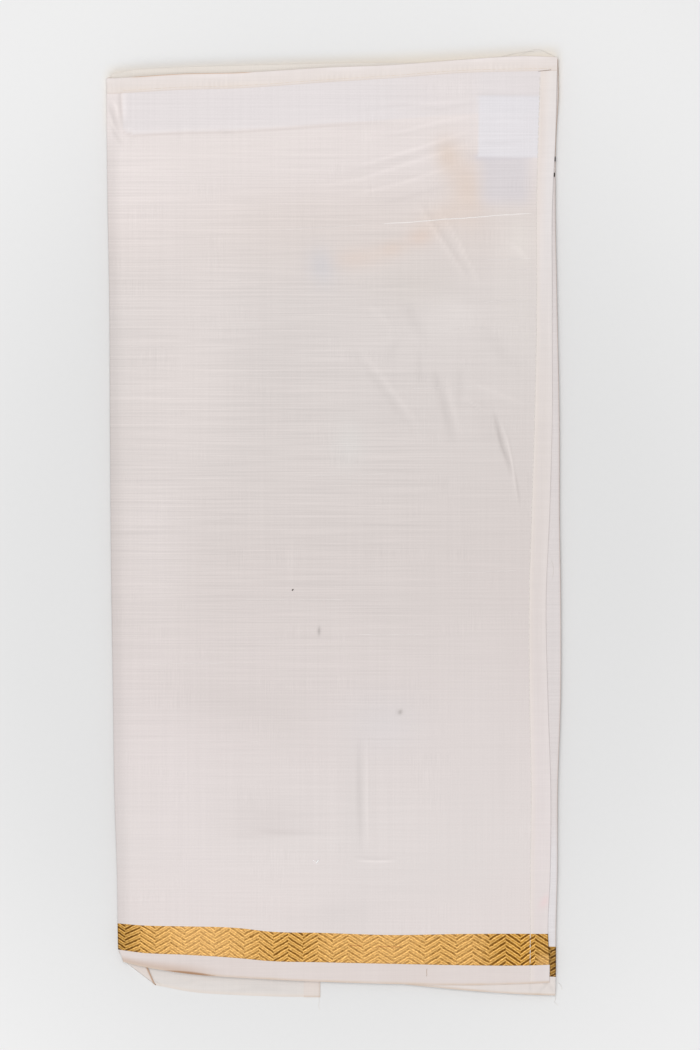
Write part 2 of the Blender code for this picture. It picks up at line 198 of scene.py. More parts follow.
# Creases of the top stretch: points, half width, height, how much lighter in percent its line is
# painted, as painted highlight. A trough has a negative height, and its line is painted darker, as
# painted shade.
TOP_CREASES = (
    # the pinched dart at the right
    (((105, 76), (108, 62), (110.5, 52), (114.5, 42), (117, 33)), 1.1, -0.70, -17),
    (((110, 67), (113.5, 56), (115.5, 47), (117.5, 34), (120, 17)), 0.8, 0.50, 13),
    (((119, 36), (120.5, 25), (122, 14)), 0.8, -0.15, -8),
    # soft troughs and folds to the left of it
    (((67.5, 100), (70, 91), (73, 80), (75.5, 70), (79, 53)), 2.6, -0.50, -8),
    (((66, 102), (68, 94), (69, 88)), 1.4, -0.20, -5),
    (((73, 98), (77, 82), (84, 58)), 2.8, 0.30, 4),
    (((83.2, 104), (83, 81)), 2.2, -0.20, -4),
    (((46, 148), (54, 134), (62, 119)), 3.6, -0.35, -5),
    (((56.4, 117), (57, 91)), 1.9, -0.25, -5),
    (((85, 96), (100, 90), (128, 79)), 1.6, 0.28, 4),
    (((85, 84), (92, 79.5), (98, 76)), 1.0, 0.30, 6),
    (((86, 82), (93, 77.5), (98, 74.5)), 0.8, -0.15, -5),
    (((22, 146), (32, 137), (40, 127)), 2.2, 0.22, 3),
    (((19, 115), (38, 90), (57, 65)), 1.8, 0.28, 5),
    (((15, 112), (34, 88), (52, 63)), 2.2, -0.24, -5),
    (((54, 211), (70, 187), (87, 161)), 1.2, 0.40, 8),
    (((58, 211), (74, 187), (90, 162)), 1.1, -0.22, -5),
    (((67, 210), (82, 185), (96, 157)), 1.1, 0.35, 7),
    (((112, 186), (121, 181), (129, 173)), 1.6, 0.25, 4),
    (((58, 142), (76, 147), (94, 138)), 6.0, 0.40, 2),
    (((100, 130), (112, 112), (126, 104)), 4.5, -0.30, -3),
    (((52, 130), (40, 118), (34, 104)), 3.0, -0.25, -3),
    # ridges that rise to the label
    (((-14, 221), (18, 226.5), (52, 237.5), (98, 252.5)), 1.5, 0.35, 6),
    (((8, 215), (46, 224), (84, 237)), 1.3, 0.30, 6),
    (((16, 235), (54, 246), (92, 259)), 1.3, 0.26, 6),
    (((4, 229), (46, 240.5), (88, 254)), 1.5, -0.15, -4),
    (((30, 210), (60, 218), (84, 226)), 1.6, -0.15, -4),
    (((40, 256), (70, 264), (95, 268)), 1.2, 0.22, 5),
    (((28, 252), (60, 259), (84, 262)), 1.1, -0.12, -4),
    (((20, 269), (60, 275), (94, 279)), 1.3, 0.20, 3),
    (((38, 276), (70, 272), (98, 277)), 1.2, -0.18, -4),
    (((96, 262), (112, 264.5), (130, 263)), 1.2, 0.16, 2),
    (((95, 251), (108, 250), (128, 252.5)), 1.4, -0.16, -2),
    (((100, 270), (118, 272), (131, 270.5)), 1.3, -0.14, -2),
    (((-4, 258), (30, 262), (58, 260)), 1.8, -0.18, -3),
    (((-60, 236), (-20, 232), (20, 240)), 5.0, 0.30, 1),
    # the strip beside the facing, at the left
    (((-137.0, 293), (-136.6, 278), (-135.8, 268), (-134, 260), (-129, 257)), 1.0, 0.45, 10),
    (((-139.0, 293), (-138.6, 278), (-137.8, 267), (-136, 258)), 1.0, -0.30, -12),
    (((-146, 277), (-142.4, 265), (-139.6, 254)), 1.5, -0.55, -14),
    (((-143.3, 278), (-140.5, 273), (-139.4, 266)), 1.0, 0.45, 11),
    (((-145.5, 271), (-142.5, 261), (-138.5, 252)), 1.0, 0.40, 10),
    (((-144.5, 262), (-141, 255), (-137, 249)), 1.1, -0.40, -10),
    # short wrinkles under the facing
    (((-75, 258.5), (-70, 257), (-64, 256)), 0.9, -0.20, -6),
    (((-100.5, 266), (-100, 249)), 1.0, -0.15, -4),
    (((-97, 264), (-96.8, 250)), 1.0, 0.12, 3),
    (((-91, 266), (-91, 252)), 1.0, -0.15, -4),
    (((-84, 262), (-84.4, 248)), 1.0, -0.12, -4),
    # the press mark and its foot
    (((17.2, -134), (17.4, -170), (18.5, -213)), 1.5, -0.40, -8),
    (((22.1, -136), (22.3, -178), (23, -209)), 1.2, 0.35, 7),
    (((14, -214.5), (28, -215.6), (41, -215)), 0.9, -0.30, -7),
    (((15, -216.7), (28, -217.5), (41, -216.9)), 0.7, 0.35, 14),
    # wide shallow waves
    (((-120, -60), (-60, -72), (0, -66)), 16, 0.40, 0),
    (((-104, -112), (-66, -110), (-32, -122)), 10, -0.40, -1),
    (((-60, -190), (-36, -194), (-14, -190)), 8, -0.35, -1),
    (((-140, 60), (-90, 74), (-30, 70)), 14, 0.35, 0),
    (((-128, -212), (-110, -150), (-112, -90)), 14, 0.30, 0),
    (((-60, 20), (-58, -40), (-64, -90)), 12, -0.30, 0),
    (((60, -60), (96, -110), (100, -170)), 16, 0.30, 0),
    (((-70, -238), (-20, -243), (30, -238)), 7, 0.30, 1),
    # two pressed lines in the weave
    (((-26.5, -44), (-26.9, -20), (-26.6, -4)), 0.8, 0.05, 4),
    (((-108, -184), (-109, -120), (-108, -58)), 0.8, -0.05, -3),
    # the lower edge lifts a little near its left end
    (((-112, -290), (-92, -291.5), (-66, -292.6)), 2.2, 0.55, 0),
)

# Creases near the outer edges of the layers below, by layer
SECOND_CREASES = (
    (((133, -304), (138, -299), (141, -293)), 1.2, -0.35, -8),
    (((136, -302), (142, -297)), 1.0, 0.25, 4),
    (((72, -300), (84, -299), (96, -297)), 2.0, 0.20, 2),
    (((140, 120), (144, 90), (144, 60)), 1.4, 0.20, 2),
    (((128.4, -295), (128.6, -304.5)), 0.8, -0.10, -8),
    (((137, -294), (141, -298), (144, -303)), 1.0, -0.25, -9),
)
INNER_CREASES = (
    (((-100, -300), (-84, -296), (-60, -297)), 1.6, 0.35, 3),
    (((-70, -303), (-50, -300), (-28, -302)), 1.8, -0.18, -5),
    (((-118, -286), (-100, -289), (-86, -294)), 1.5, 0.30, 3),
)


def linear(levels):
    """Colours as a screen shows them, from 0 to 255, in linear light."""
    c = np.array(levels, float) / 255
    return np.where(c <= 0.04045, c / 12.92, ((c + 0.055) / 1.055) ** 2.4)


def srgb(red, green, blue):
    return linear((red, green, blue))


# Colours of the cloth in daylight, and two painted ones: a shadow colour and a highlight colour
HEM_COLOUR = srgb(234, 225, 221)
SELVAGE_COLOUR = srgb(221, 210, 206)
EDGE_COLOUR = srgb(213, 194, 177)  # raw or folded edges look peach
DEEP_EDGE_COLOUR = srgb(202, 178, 156)
# painted shadow, for the narrow gap under the lifted lower edge at the left
CREVICE_SHADOW_COLOUR = srgb(172, 134, 104)
HIDDEN_COLOUR = srgb(221, 213, 210)
INNER_HEM_COLOUR = srgb(226, 216, 210)
FACING_COLOUR = srgb(229, 229, 230)
LABEL_COLOUR = srgb(232, 232, 236)
THREAD_COLOUR = srgb(236, 230, 224)
PEACH_THREAD_COLOUR = srgb(236, 222, 208)
RUST_COLOUR = srgb(186, 100, 44)
FACING_TINT = srgb(228, 222, 223)  # how the facing and the label look through the silk
LABEL_TINT = srgb(229, 226, 230)
MARK_COLOUR = srgb(172, 165, 162)
MAIN_SLUB_COLOUR = srgb(250, 244, 241)
SLUB_COLOUR = srgb(236, 229, 226)
GOLD_STRONG = srgb(176, 126, 40)
GOLD_DARK = srgb(116, 72, 0)
# painted highlight, for the ribs' edges and sparkle
GOLD_HIGHLIGHT = srgb(240, 194, 116)
GOLD_WASHED = srgb(197, 151, 90)

# The colours of the top stretch and of its end hem as a screen shows them, by y. The top
# stretch's grow darker towards the middle of its length: partly its own colour, partly painted shade
# where the light falls off.
TOP_COLOURS = lines_through(
    (-300, 223, 215, 213),
    (-240, 225, 216, 214),
    (-210, 224, 216, 214),
    (-140, 221, 212, 210),
    (-28, 215, 206, 203),
    (60, 216, 208, 205),
    (150, 219, 211, 208),
    (200, 222, 212, 208),
    (240, 229, 220, 218),
    (258, 231, 222, 220),
    (300, 231, 222, 220),
)
END_HEM_COLOURS = lines_through(
    (-300, 224, 215, 213),
    (-200, 227, 218, 217),
    (-40, 224, 215, 212),
    (120, 227, 219, 216),
    (220, 232, 226, 225),
    (300, 237, 230, 227),
)

# Painted shadow below the label, seen through the top stretch, with an outline: centre, half
# width and height, softness of the edge, turn in degrees, colour, strength
LABEL_SHADOW_SHAPES = (
    ((112, 228), (9, 11), 13, 0, (214, 209, 213), 0.75),
    ((111, 240.6), (18, 0.5), 1.6, 1, (211, 206, 211), 0.35),
)

# Soft spots of a lighter or darker shade: centre, reach each way, turn, colour, strength
TOP_SPOTS = (
    ((-128, 232), (60, 62), 0, (234, 225, 223), 0.75),
    ((-60, 246), (90, 16), 4, (232, 223, 220), 0.6),
    ((-96, 120), (34, 110), -6, (224, 215, 212), 0.45),
    ((-92, 96), (36, 34), 24, (225, 216, 213), 0.45),
    ((-118, -10), (22, 60), 0, (225, 217, 215), 0.5),
    ((-104, -180), (34, 90), 14, (226, 217, 216), 0.5),
    ((55, 158), (30, 16), 0, (212, 204, 199), 0.5),
    ((78, 136), (24, 13), 10, (226, 219, 216), 0.5),
    ((122, 186), (12, 14), 0, (231, 223, 218), 0.7),
    ((122, 148), (16, 50), 0, (222, 215, 211), 0.5),
    ((10, 54), (11, 16), 0, (219, 216, 213), 0.5),
    ((-34, 96), (30, 60), 0, (213, 205, 202), 0.5),
    # The next spot is painted shadow: the darker left end of the shadow below the label
    ((98, 240), (9, 2.6), -4, (203, 198, 205), 0.6),
    ((75, 241), (8, 12), 14, (222, 205, 193), 0.8),
    ((87, 221), (11, 22), 8, (223, 206, 195), 0.8),
    ((73, 203), (18, 8), 22, (223, 208, 199), 0.7),
    ((57, 189), (9, 6), 15, (222, 204, 194), 0.8),
    ((38, 181), (9, 5), 10, (222, 205, 195), 0.7),
    ((15, 175), (20, 7), 6, (222, 207, 199), 0.75),
    ((-7, 170), (9, 12), 12, (209, 206, 209), 0.7),
    ((-66, -112), (50, 16), -9, (210, 201, 198), 0.35),
    ((-30, -126), (16, 18), -40, (212, 204, 201), 0.3),
    ((-38, -198.5), (24, 2.2), 2, (205, 196, 194), 0.5),
    ((-44, -187), (28, 14), 0, (213, 204, 202), 0.4),
    ((34, -128), (26, 20), 0, (217, 212, 213), 0.5),
    ((50, -60), (70, 56), 0, (215, 207, 204), 0.3),
    ((16, -178), (9, 44), 0, (214, 208, 206), 0.4),
    ((100, 66), (7, 16), 24, (209, 201, 198), 0.3),
    ((96, -150), (34, 70), 0, (220, 212, 210), 0.5),
    ((60, -226), (60, 22), 0, (220, 213, 211), 0.5),
    ((8, -254), (24, 16), 0, (216, 209, 207), 0.5),
)

# Small soft grey marks: centre, reach each way
MARKS = (
    ((-8.9, -67.4), (0.9, 2.6)),
    ((43.7, -120.1), (1.5, 1.5)),
)

# Thick slub threads across the top stretch: left end, right end, radius
SLUBS = (
    ((31, 197), (131, 204.4), 0.26),
    ((-40, 193), (30, 197), 0.14),
    ((96, 173.5), (131, 175), 0.17),
    ((-128, -89), (-66, -88), 0.18),
    ((-140, 117), (-84, 118), 0.13),
    ((60, 128), (129, 131), 0.15),
    ((-28, 33), (44, 35), 0.13),
    ((10, -69.5), (66, -70), 0.14),
    ((-132, 4), (-62, 6), 0.12),
    ((-70, -47), (20, -47), 0.12),
    ((70, -30), (126, -28), 0.13),
    ((-120, 160), (-50, 161), 0.12),
    ((-96, -140), (-40, -139.5), 0.11),
    ((44, 90), (100, 92), 0.12),
    ((94, 146), (131, 148.8), 0.15),
    ((111, 167), (131, 167.4), 0.13),
)

# How washed out the border looks, by x: 0 strong and dark, 1 bright and faint
WASH = Line(
    (-147, 0.0), (-134, 0.05), (-126, 0.40), (-114, 0.62), (-100, 0.88), (-84, 0.96),
    (-68, 0.86), (-50, 0.58), (-38, 0.38), (-16, 0.38), (-6, 0.64), (10, 0.74),
    (54, 0.78), (66, 0.62), (96, 0.58), (107, 0.20), (124, 0.04), (134, 0.16),
    (146, 0.24),
)

# How far the zigzag's peaks lie from an even spacing, by x
PEAK_SHIFT = Line(
    (-127, -2), (-67, 0), (-29, 2), (10, 3), (70, 3), (91, 2),
    (112, 0.6), (132, 1.4),
)

# How far the cloth's end droops on to the stretch below, by y
END_DROOP = Line(
    (-306, 0.30), (-250, 0.35), (-150, 0.60), (0, 0.70), (110, 0.60), (190, 0.15),
    (306, 0.05),
)

# How strongly the weft's unevenness shows in the top stretch, by y
STREAK = Line(
    (-300, 0.40), (-220, 0.45), (-130, 0.60), (-60, 1.05), (30, 1.35), (120, 1.30),
    (190, 1.15), (235, 0.90), (262, 0.62), (300, 0.62),
)


def moved(line, by):
    return lambda place: line(place) + by


def constant(value):
    return lambda place: value + 0 * place


def ramp(value, start, end):
    """0 at start, 1 at end, smooth between."""
    t = np.clip((value - start) / (end - start), 0, 1)
    return t * t * (3 - 2 * t)


def waves(place, length, seed):
    """A slow uneven wave between -1 and 1."""
    turn = 2 * math.pi * place / length
    mixed = np.sin(turn + seed) + 0.6 * np.sin(2.23 * turn + 2.1 * seed)
    return (mixed + 0.4 * np.sin(4.71 * turn + 3.7 * seed)) / 2


def inner_fold(y):
    return np.interp(y, INNER_LEFT[:, 1], INNER_LEFT[:, 0])


def distance_to_path(x, y, points):
    """How far each place is from a path, and where along it (0 to 1) its nearest point is."""
    points = np.array(points, float)
    lengths = np.linalg.norm(np.diff(points, axis=0), axis=1)
    nearest = np.full(x.shape, np.inf)
    share = np.zeros(x.shape)
    done = 0.0
    for start, end, length in zip(points, points[1:], lengths):
        step = (end - start) / length
        along = np.clip((x - start[0]) * step[0] + (y - start[1]) * step[1], 0, length)
        off = np.hypot(x - start[0] - along * step[0], y - start[1] - along * step[1])
        closer = off < nearest
        nearest = np.where(closer, off, nearest)
        share = np.where(closer, (done + along) / lengths.sum(), share)
        done += length
    return nearest, share


def crease_profile(x, y, points, half_width):
    """1 on a crease's line, fading across it and towards its ends."""
    off, share = distance_to_path(x, y, points)
    ends = np.sin(math.pi * np.clip(share, 0.02, 0.98)) ** 0.7
    return np.exp(-((off / half_width) ** 2)) * ends


def creased(x, y, creases):
    """The height that the listed creases add."""
    return sum(rise * crease_profile(x, y, points, half) for points, half, rise, _ in creases)


def painted_crease_shade(x, y, creases):
    """The painted highlight and shade along the creases, as a factor on the colour."""
    return 1 + sum(
        shade / 100 * crease_profile(x, y, points, half) for points, half, _, shade in creases
    )


def box_mask(x, y, centre, half, soft, turn=0.0):
    """1 inside a turned rectangle with rounded corners, fading to 0 over soft."""
    angle = math.radians(turn)
    dx, dy = x - centre[0], y - centre[1]
    u = np.abs(dx * math.cos(angle) + dy * math.sin(angle)) - half[0]
    v = np.abs(dy * math.cos(angle) - dx * math.sin(angle)) - half[1]
    outside = np.hypot(np.maximum(u, 0), np.maximum(v, 0))
    return ramp(outside, soft, 0)


def spot_mask(x, y, centre, reach, turn):
    """1 at a spot's centre, fading all round."""
    angle = math.radians(turn)
    dx, dy = x - centre[0], y - centre[1]
    u = (dx * math.cos(angle) + dy * math.sin(angle)) / reach[0]
    v = (dy * math.cos(angle) - dx * math.sin(angle)) / reach[1]
    return np.exp(-(u * u + v * v))


def facing_mask(x, y, soft):
    """Where the facing lies under the top stretch: its lower left corner is rounded."""
    edge = HEM_SEAM(x) - FACING_DEPTH + 3.0 * ramp(x, -130, -136)
    return ramp(x, -135.5 - soft, -135.5) * ramp(y, edge - soft, edge)


def label_mask(x, y, soft):
    low, high = LABEL_BOX
    centre = (low + high)[:2] / 2
    half = (high - low)[:2] / 2
    return box_mask(x, y, centre, half, soft)


def settled(x, y):
    """How much of its height the stack keeps: it is flatter at its bordered edge."""
    return 1 - ramp(y, -215, -300) * (0.20 + 0.06 * waves(x, 150, 1.3))


def top_height(x, y):
    """Middle height of the top stretch."""
    lift = 0.32 * facing_mask(x, y, 3.0) + 0.45 * label_mask(x, y, 2.6)
    rolling = 0.10 * waves(x + 0.3 * y, 97, 0.4) * waves(y - 0.2 * x, 131, 2.0)
    edge = 0.16 * waves(x, 61, 2.6) * ramp(y, -270, -297)
    end = 0.10 * waves(y, 74, 0.9) * ramp(x, 118, 138) - END_DROOP(y) * ramp(END(y) - x, 11, 1)
    above = TOP - LOWEST + lift + rolling + edge + end + creased(x, y, TOP_CREASES)
    return LOWEST + above * settled(x, y)


def second_height(x, y):
    """Middle height of the second stretch, and of those below it in the next functions."""
    edge = 0.12 * waves(x, 47, 0.7) * ramp(y, -285, -303)
    side = 0.12 * waves(y, 66, 2.2) * ramp(x, 130, 143)
    above = SECOND - LOWEST + edge + side + creased(x, y, SECOND_CREASES)
    return LOWEST + above * settled(x, y)


def third_height(x, y):
    return LOWEST + (THIRD - LOWEST + 0.1 * waves(x + y, 58, 1.9)) * settled(x, y)


def fourth_height(x, y):
    return LOWEST + (FOURTH - LOWEST + 0.12 * waves(x - y, 71, 0.2)) * settled(x, y)


def fifth_height(x, y):
    """The fifth stretch lies on the inner end, and on the table beside it."""
    on_inner = ramp(x, -2, -22)
    return LOWEST + (FIFTH - LOWEST - 0.25) * on_inner * settled(x, y)


def inner_height(x, y):
    near_edge = ramp(y, -262, -285)
    ripple = 0.10 * (1 + waves(x, 38, 0.5)) + np.maximum(creased(x, y, INNER_CREASES), -0.1)
    return LOWEST + near_edge * ripple


def inner_rise(x, y):
    """Where the inner end's fold arrives: under the fifth stretch, or flat on itself at the corner."""
    free = ramp(y, -286, -268)
    return (LOWEST + SILK) * (1 - free) + fifth_height(x, y) * free


# ---- Grids -------------------------------------------------------------------------------


def spaced(*stops):
    """Places from the first stop to the last: each stop is (place, spacing after it)."""
    places = []
    for (start, step), (end, _) in zip(stops, stops[1:]):
        count = max(1, round((end - start) / step))
        places.extend(start + (end - start) * k / count for k in range(count))
    return np.array([*places, stops[-1][0]])


def shares(*stops):
    """The same places as shares of their whole run."""
    places = spaced(*stops)
    return (places - places[0]) / (places[-1] - places[0])


def near_edge(width, radius=0.5):
    """Shares across a hem from its seam to its rounded edge."""
    from_edge = np.array([0, 0.08, 0.25, 0.55, 1.0]) * radius
    inner = np.linspace(0, 1 - radius / width, 9)
    return np.unique(np.concatenate([inner, 1 - from_edge / width]))


def folded_columns(flat, side, radius, wall=SILK):
    """Columns of a panel with a fold at one side, as (share, offset, turn).

    A column lies at its share of the way from the left line to the right one, plus its
    offset, and turn is how far round the fold it is: 0 in this stretch, 1 in the next.
    """
    out = radius + wall / 2
    angle = np.linspace(0, math.pi, FOLD_STEPS + 1)[1:]
    offset = np.append(out - radius * np.sin(angle), out + LEG)
    turn = np.append((1 - np.cos(angle)) / 2, 1.0)
    if side == "left":
        share = np.concatenate([np.zeros(len(offset)), flat])
        move = np.concatenate([offset[::-1], out * (1 - flat)])
        return share, move, np.concatenate([turn[::-1], np.zeros(len(flat))])
    share = np.concatenate([flat, np.ones(len(offset))])
    move = np.concatenate([-out * flat, -offset])
    return share, move, np.concatenate([np.zeros(len(flat)), turn])


def flat_columns(flat):
    return flat, np.zeros(len(flat)), np.zeros(len(flat))


ROUNDS = 9  # enough for x and y, which depend on each other, to agree


def lay_out(sides, ends, columns, rows, height, next_height=None):
    """Middle points of a panel between two side lines (x at y) and two end lines (y at x)."""
    share, offset, turn = columns
    left, right = sides
    low, high = ends
    x = np.zeros((len(rows), len(share)))
    for _ in range(ROUNDS):
        y = low(x) + (high(x) - low(x)) * rows[:, None]
        x = left(y) * (1 - share) + right(y) * share + offset
    z = height(x, y)
    if next_height is not None:
        z = z * (1 - turn) + next_height(x, y) * turn
    return np.stack([x, y, z], axis=2)


def rounded(wall, from_edge):
    """Thickness of a hem that is rounded at its edge."""
    radius = wall / 2
    t = np.clip(from_edge / radius, 0.03, 1)
    return wall * np.sqrt(1 - (1 - t) ** 2)


# ---- Meshes ------------------------------------------------------------------------------


def new_object(name, verts, faces, material):
    mesh = bpy.data.meshes.new(name)
    mesh.from_pydata((np.asarray(verts) * MM).tolist(), [], faces)
    mesh.materials.append(material)
    mesh.polygons.foreach_set("use_smooth", np.ones(len(mesh.polygons), bool))
    mesh.update()
    made = bpy.data.objects.new(name, mesh)
    bpy.context.scene.collection.objects.link(made)
    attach(made, "root")
    return made


def grid_faces(rows, columns):
    corner = np.arange(rows * columns).reshape(rows, columns)
    quads = np.stack([corner[:-1, :-1], corner[:-1, 1:], corner[1:, 1:], corner[1:, :-1]], axis=2)
    return quads.reshape(-1, 4), corner


def shell(name, points, wall, material, tint, **values):
    """A closed thin shell round a grid of middle points, with its colour and other values."""
    rows, columns = points.shape[:2]
    normal = np.cross(np.gradient(points, axis=1), np.gradient(points, axis=0))
    normal /= np.linalg.norm(normal, axis=2, keepdims=True)
    half = normal * np.broadcast_to(wall, points.shape[:2])[..., None] / 2
    verts = np.concatenate([(points + half).reshape(-1, 3), (points - half).reshape(-1, 3)])
    quads, corner = grid_faces(rows, columns)
    below = rows * columns
    around = np.concatenate([corner[0, :-1], corner[:-1, -1], corner[-1, :0:-1], corner[:0:-1, 0]])
    after = np.roll(around, -1)
    rim = np.stack([around + below, after + below, after, around], axis=1)
    faces = np.concatenate([quads, quads[:, ::-1] + below, rim])
    made = new_object(name, verts, faces.tolist(), material)
    mesh = made.data

    on_rim = np.zeros(2 * below, bool)
    on_rim[around] = on_rim[around + below] = True
    ends = np.zeros(2 * len(mesh.edges), np.int32)
    mesh.edges.foreach_get("vertices", ends)
    first, second = ends.reshape(-1, 2).T
    same_side = (first < below) == (second < below)
    mesh.edges.foreach_set("use_edge_sharp", on_rim[first] & on_rim[second] & same_side)

    colour = np.ones((2 * below, 4), np.float32)
    colour[:, :3] = np.tile(np.broadcast_to(tint, points.shape).reshape(-1, 3), (2, 1))
    mesh.attributes.new("tint", "FLOAT_COLOR", "POINT").data.foreach_set("color", colour.ravel())
    for key, value in values.items():
        flat = np.tile(np.broadcast_to(value, points.shape[:2]).ravel(), 2)
        mesh.attributes.new(key, "FLOAT", "POINT").data.foreach_set("value", flat.astype(np.float32))
    return made


def cloth(node, slot, points, wall, tint, **values):
    """The shell that stands for a CAD node."""
    made = shell(f"{node}_cloth", points, wall, MATERIALS[slot], tint, **values)
    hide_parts(node)
    return made


# ---- Materials ---------------------------------------------------------------------------


class Graph:
    """A material's nodes, made with short calls. A value is a number or another node's output."""

    def __init__(self, name):
        self.material = bpy.data.materials.new(name)
        self.material.use_nodes = True
        self.tree = self.material.node_tree
        self.shader = self.tree.nodes["Principled BSDF"]
        self.place = self.node("ShaderNodeTexCoord").outputs["Object"]

    def node(self, kind, **settings):
        made = self.tree.nodes.new(kind)
        for key, value in settings.items():
            setattr(made, key, value)
        return made

    def set(self, socket, value):
        if isinstance(value, bpy.types.NodeSocket):
            self.tree.links.new(value, socket)
        else:
            socket.default_value = value

    def math(self, operation, *values):
        made = self.node("ShaderNodeMath", operation=operation)
        for socket, value in zip(made.inputs, values):
            self.set(socket, value)
        return made.outputs[0]

    def times(self, first, second):
        return self.math("MULTIPLY", first, second)

    def add(self, *values):
        total = values[0]
        for value in values[1:]:
            total = self.math("ADD", total, value)
        return total

    def smooth(self, value, start, end):
        made = self.node("ShaderNodeMapRange", interpolation_type="SMOOTHSTEP")
        self.set(made.inputs["Value"], value)
        self.set(made.inputs["From Min"], start)
        self.set(made.inputs["From Max"], end)
        return made.outputs["Result"]

    def number(self, name):
        """A value that the mesh has at each corner."""
        return self.node("ShaderNodeAttribute", attribute_name=name).outputs["Fac"]

    def axes(self):
        """Each place's X and Y, in metres."""
        parts = self.node("ShaderNodeSeparateXYZ")
        self.set(parts.inputs[0], self.place)
        return parts.outputs["X"], parts.outputs["Y"]

    def streaks(self, long_x, long_y, strength, seed, detail=2.0):
        """Noise about 0, drawn out to these lengths in millimetres."""
        mapping = self.node("ShaderNodeMapping")
        self.set(mapping.inputs["Vector"], self.place)
        mapping.inputs["Scale"].default_value = (1 / (long_x * MM), 1 / (long_y * MM), 0)
        mapping.inputs["Location"].default_value = (seed * 3.7, seed * 5.3, seed)
        noise = self.node("ShaderNodeTexNoise")
        self.set(noise.inputs["Vector"], mapping.outputs["Vector"])
        noise.inputs["Scale"].default_value = 1.0
        noise.inputs["Detail"].default_value = detail
        about_zero = self.math("SUBTRACT", noise.outputs["Fac"], 0.5)
        return self.times(about_zero, 2 * strength)

    def scaled(self, colour, factor):
        made = self.node("ShaderNodeVectorMath", operation="SCALE")
        self.set(made.inputs["Vector"], colour)
        self.set(made.inputs["Scale"], factor)
        return made.outputs["Vector"]

    def coloured(self, colour):
        self.set(self.shader.inputs["Base Color"], colour)

    def tinted(self, factor):
        """The mesh's own tint, made lighter or darker by a factor, as the surface's colour."""
        tint = self.node("ShaderNodeAttribute", attribute_name="tint").outputs["Color"]
        self.coloured(self.scaled(tint, factor))

    def rough(self, value):
        self.set(self.shader.inputs["Roughness"], value)

    def mixed(self, share, first, second):
        made = self.node("ShaderNodeMix", data_type="RGBA")
        self.set(made.inputs["Factor"], share)
        for socket, value in zip((made.inputs[6], made.inputs[7]), (first, second)):
            self.set(socket, value if isinstance(value, bpy.types.NodeSocket) else (*value, 1.0))
        return made.outputs[2]

    def bump(self, height, millimetres):
        made = self.node("ShaderNodeBump")
        made.inputs["Strength"].default_value = 1.0
        made.inputs["Distance"].default_value = millimetres * MM
        self.set(made.inputs["Height"], height)
        self.set(self.shader.inputs["Normal"], made.outputs["Normal"])

    def weave(self, pitch):
        """Height of a plain weave with this pitch, from -1 to 1."""
        x, y = self.axes()
        turn = math.pi / (pitch * MM)
        return self.times(self.math("SINE", self.times(x, turn)), self.math("SINE", self.times(y, turn)))

    def finish(self, **numbers):
        """Sets the shader's uniform values, each on its own socket."""
        for key, value in numbers.items():
            self.shader.inputs[key.replace("_", " ")].default_value = value
        return self.material


def silk_material():
    """Plain-woven silk, uneven along the weft; the attribute "streak" says how uneven."""
    graph = Graph("silk")
    weft = graph.add(
        graph.streaks(55, 0.9, 0.105, 1),
        graph.streaks(190, 1.4, 0.060, 2),
        graph.streaks(400, 4.0, 0.024, 3),
        graph.streaks(300, 18, 0.020, 4),
    )
    weft = graph.times(weft, graph.number("streak"))
    patches = graph.smooth(graph.streaks(34, 22, 0.5, 8), 0.02, 0.16)
    loose_warp = graph.times(graph.streaks(0.9, 16, 0.075, 9), patches)
    grain = graph.streaks(1.1, 1.0, 0.032, 10, 1.0)
    warp = graph.add(graph.streaks(0.9, 90, 0.034, 5), graph.streaks(3, 300, 0.018, 6), loose_warp, grain)
    slubs = graph.smooth(graph.streaks(22, 0.6, 0.5, 7, 1.0), 0.20, 0.36)
    factor = graph.add(weft, warp, graph.times(slubs, 0.05), 1.0)
    graph.tinted(factor)
    graph.rough(graph.add(graph.times(weft, 0.5), 0.52))
    height = graph.add(graph.times(weft, 3.0), graph.times(graph.weave(0.42), 0.25))
    graph.bump(height, 0.030)
    return graph.finish(
        Specular_IOR_Level=0.30, Sheen_Weight=0.12, Sheen_Roughness=0.4, Anisotropic=0.4
    )


def hem_material():
    """The doubled silk: the same threads, closer and flatter."""
    graph = Graph("hem silk")
    weft = graph.add(graph.streaks(40, 0.6, 0.045, 11), graph.streaks(120, 3.0, 0.03, 12))
    warp = graph.add(graph.streaks(0.7, 50, 0.030, 13), graph.streaks(6, 90, 0.030, 14))
    factor = graph.add(weft, warp, 1.0)
    graph.tinted(factor)
    graph.rough(graph.add(graph.times(weft, 0.5), 0.56))
    height = graph.add(graph.times(graph.add(weft, warp), 4.0), graph.weave(0.42))
    graph.bump(height, 0.022)
    return graph.finish(Specular_IOR_Level=0.28, Sheen_Weight=0.15, Sheen_Roughness=0.45)


